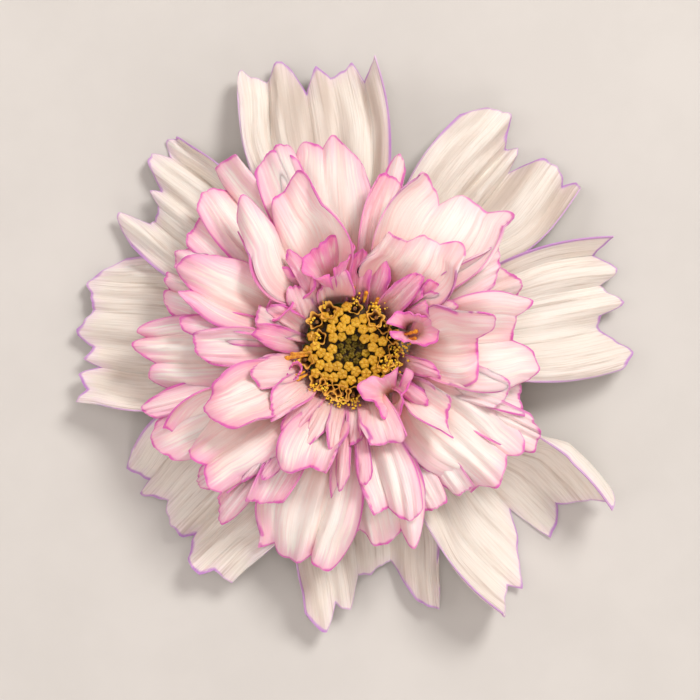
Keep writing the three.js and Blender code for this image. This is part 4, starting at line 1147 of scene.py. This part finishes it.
def bract_part(kind, azimuth, number):
    """A bract: a narrow blade that widens and comes to a point, bowed along it and troughed across."""
    wide, tall = BRACT_GRID
    u = np.linspace(-1, 1, wide)[None, :]
    v = np.linspace(0, 1, tall)[:, None]
    length = kind["length"] * (1 + 0.04 * draw(number, 9))
    start = spot(azimuth, kind["root"], kind["from"])
    end = spot(azimuth + 2 * draw(number, 10), kind["root"] + length, kind["to"])
    side = spot(azimuth + 90, 1.0, 0)
    swell = np.sin(np.pi * np.minimum(0.15 + v * 0.8, 1)) ** 0.8
    width = kind["half"] * (0.35 + 0.65 * swell) * (1 - v ** 4 * 0.93)
    points = start + (end - start) * v[..., None] + side * (u * width)[..., None]
    bow = math.tan(math.radians(kind["lift"])) * kind["length"]
    points[..., 2] += bow * v * (1 - v) + 0.15 * kind["half"] * u * u
    own = [0.6, 0.5 + 0.4 * draw(number, 6), 0.5 + 0.5 * draw(number, 7)]
    return grown_part(points, u + 0 * v, v + 0 * u, own, BRACT_THICKNESS)


def smooth_profile(profile, count):
    """A profile resampled evenly along its length, its corners eased by a short running mean.

    Its third value, how far it is lobed, grows from the stem to the receptacle.
    """
    profile = np.array(profile, float)
    run = np.concatenate([[0], np.cumsum(np.linalg.norm(np.diff(profile, axis=0), axis=1))])
    s = np.linspace(0, run[-1], count)
    r, z = np.interp(s, run, profile[:, 0]), np.interp(s, run, profile[:, 1])
    smooth = np.convolve(np.pad(r, 1, mode="edge"), [0.25, 0.5, 0.25], "valid")
    smooth[0] = smooth[-1] = POLE
    return np.stack([np.where(r < 0.02, POLE, smooth), z, smoothstep(z, 1.5, 3.5)], -1)


def make_calyx():
    """The broad inner bracts, the narrow outer ones between them, and the receptacle on its stub of stem."""
    group = bpy.data.node_groups["petal_pattern"]
    inner_green = petal_material("inner_bract_skin", group, INNER_BRACT_COLOURS, **INNER_BRACT_SKIN)
    outer_green = petal_material("outer_bract_skin", group, OUTER_BRACT_COLOURS, **OUTER_BRACT_SKIN)
    stem_green = speckled_material("stem_skin", (0.16, 0.26, 0.05), (0.27, 0.38, 0.1), 500.0, 0.55)
    step = 360 / BRACTS
    inner = [bract_part(INNER_BRACT, i * step + BRACT_TURN, i) for i in range(BRACTS)]
    outer = [bract_part(OUTER_BRACT, (i + 0.5) * step + BRACT_TURN, 20 + i) for i in range(BRACTS)]
    points, faces = turned(smooth_profile(STEM_PROFILE, 60), 64, 8, 0.02)
    stem = [{"points": points, "faces": faces}]
    node, slot = ["calyx_and_stem"], "green_calyx"
    piece("inner_bracts", inner, inner_green, node)
    piece("outer_bracts", outer, outer_green, node)
    piece("receptacle_and_stem", stem, stem_green, node, sharp=40)


# Room and light

# Lengths of the room are in metres: half the floor's side, and the height at which the lights are aimed
FLOOR_HALF = 3.0
BLOOM_HEIGHT = 0.012

# Soft boxes: place, size, power in watts and colour
SOFTBOXES = {
    "key_softbox": ((0.35, 0.42, 0.62), 0.26, 4.7, (1.0, 0.95, 0.9)),
    "fill_softbox": ((-0.55, 0.1, 0.5), 0.5, 1.1, (1.0, 0.92, 0.88)),
    "low_softbox": ((0.2, -0.6, 0.4), 0.4, 1.3, (1.0, 0.92, 0.88)),
    "top_softbox": ((-0.06, 0.04, 0.75), 0.3, 1.1, (1.0, 0.93, 0.88)),
}
ROOM_COLOUR = (1.0, 0.87, 0.81, 1)
ROOM_STRENGTH = 0.36


def make_floor():
    """A broad pale floor with a faint even grain."""
    mesh = bpy.data.meshes.new("floor")
    corners = [(x * FLOOR_HALF, y * FLOOR_HALF, 0) for x, y in ((-1, -1), (1, -1), (1, 1), (-1, 1))]
    mesh.from_pydata(corners, [], [(0, 1, 2, 3)])
    floor = bpy.data.objects.new("floor", mesh)
    paper = speckled_material("floor_paper", (0.6, 0.59, 0.57), (0.63, 0.62, 0.6), 40.0, 0.8, subsurface=0.0)
    mesh.materials.append(paper)
    bpy.context.scene.collection.objects.link(floor)


def area_light(name, place, size, power, colour):
    """A square soft box at a place, aimed at the middle of the bloom."""
    data = bpy.data.lights.new(name, "AREA")
    data.size = size
    data.energy = power
    data.color = colour
    light = bpy.data.objects.new(name, data)
    light.location = place
    aim = np.array(place) - [0, 0, BLOOM_HEIGHT]
    flat = math.hypot(aim[0], aim[1])
    light.rotation_euler = (math.atan2(flat, aim[2]), 0, math.atan2(aim[1], aim[0]) + math.pi / 2)
    bpy.context.scene.collection.objects.link(light)


def make_lights():
    """The soft boxes, and a warm even light from all round."""
    for name, row in SOFTBOXES.items():
        area_light(name, *row)
    world = bpy.data.worlds.new("studio")
    bpy.context.scene.world = world
    world.use_nodes = True
    background = world.node_tree.nodes["Background"]
    background.inputs["Color"].default_value = ROOM_COLOUR
    background.inputs["Strength"].default_value = ROOM_STRENGTH


def make_camera():
    """A long lens straight above, level with the photographed frame."""
    data = bpy.data.cameras.new("camera")
    data.sensor_width = SENSOR
    data.lens = SENSOR * (CAMERA_HEIGHT - PETALS_HEIGHT) / (FRAME_PIXELS * PIXEL)
    data.clip_start = 0.01
    camera = bpy.data.objects.new("camera", data)
    offset = ((AXIS_PIXEL[0] - FRAME_PIXELS / 2) * PIXEL, (FRAME_PIXELS / 2 - AXIS_PIXEL[1]) * PIXEL)
    camera.location = ((AXIS_AT[0] - offset[0]) * MM, (AXIS_AT[1] - offset[1]) * MM, CAMERA_HEIGHT * MM)
    bpy.context.scene.collection.objects.link(camera)
    bpy.context.scene.camera = camera


make_petals()
make_disc()
make_calyx()
make_floor()
make_lights()
make_camera()
bpy.context.scene.view_settings.view_transform = "Standard"
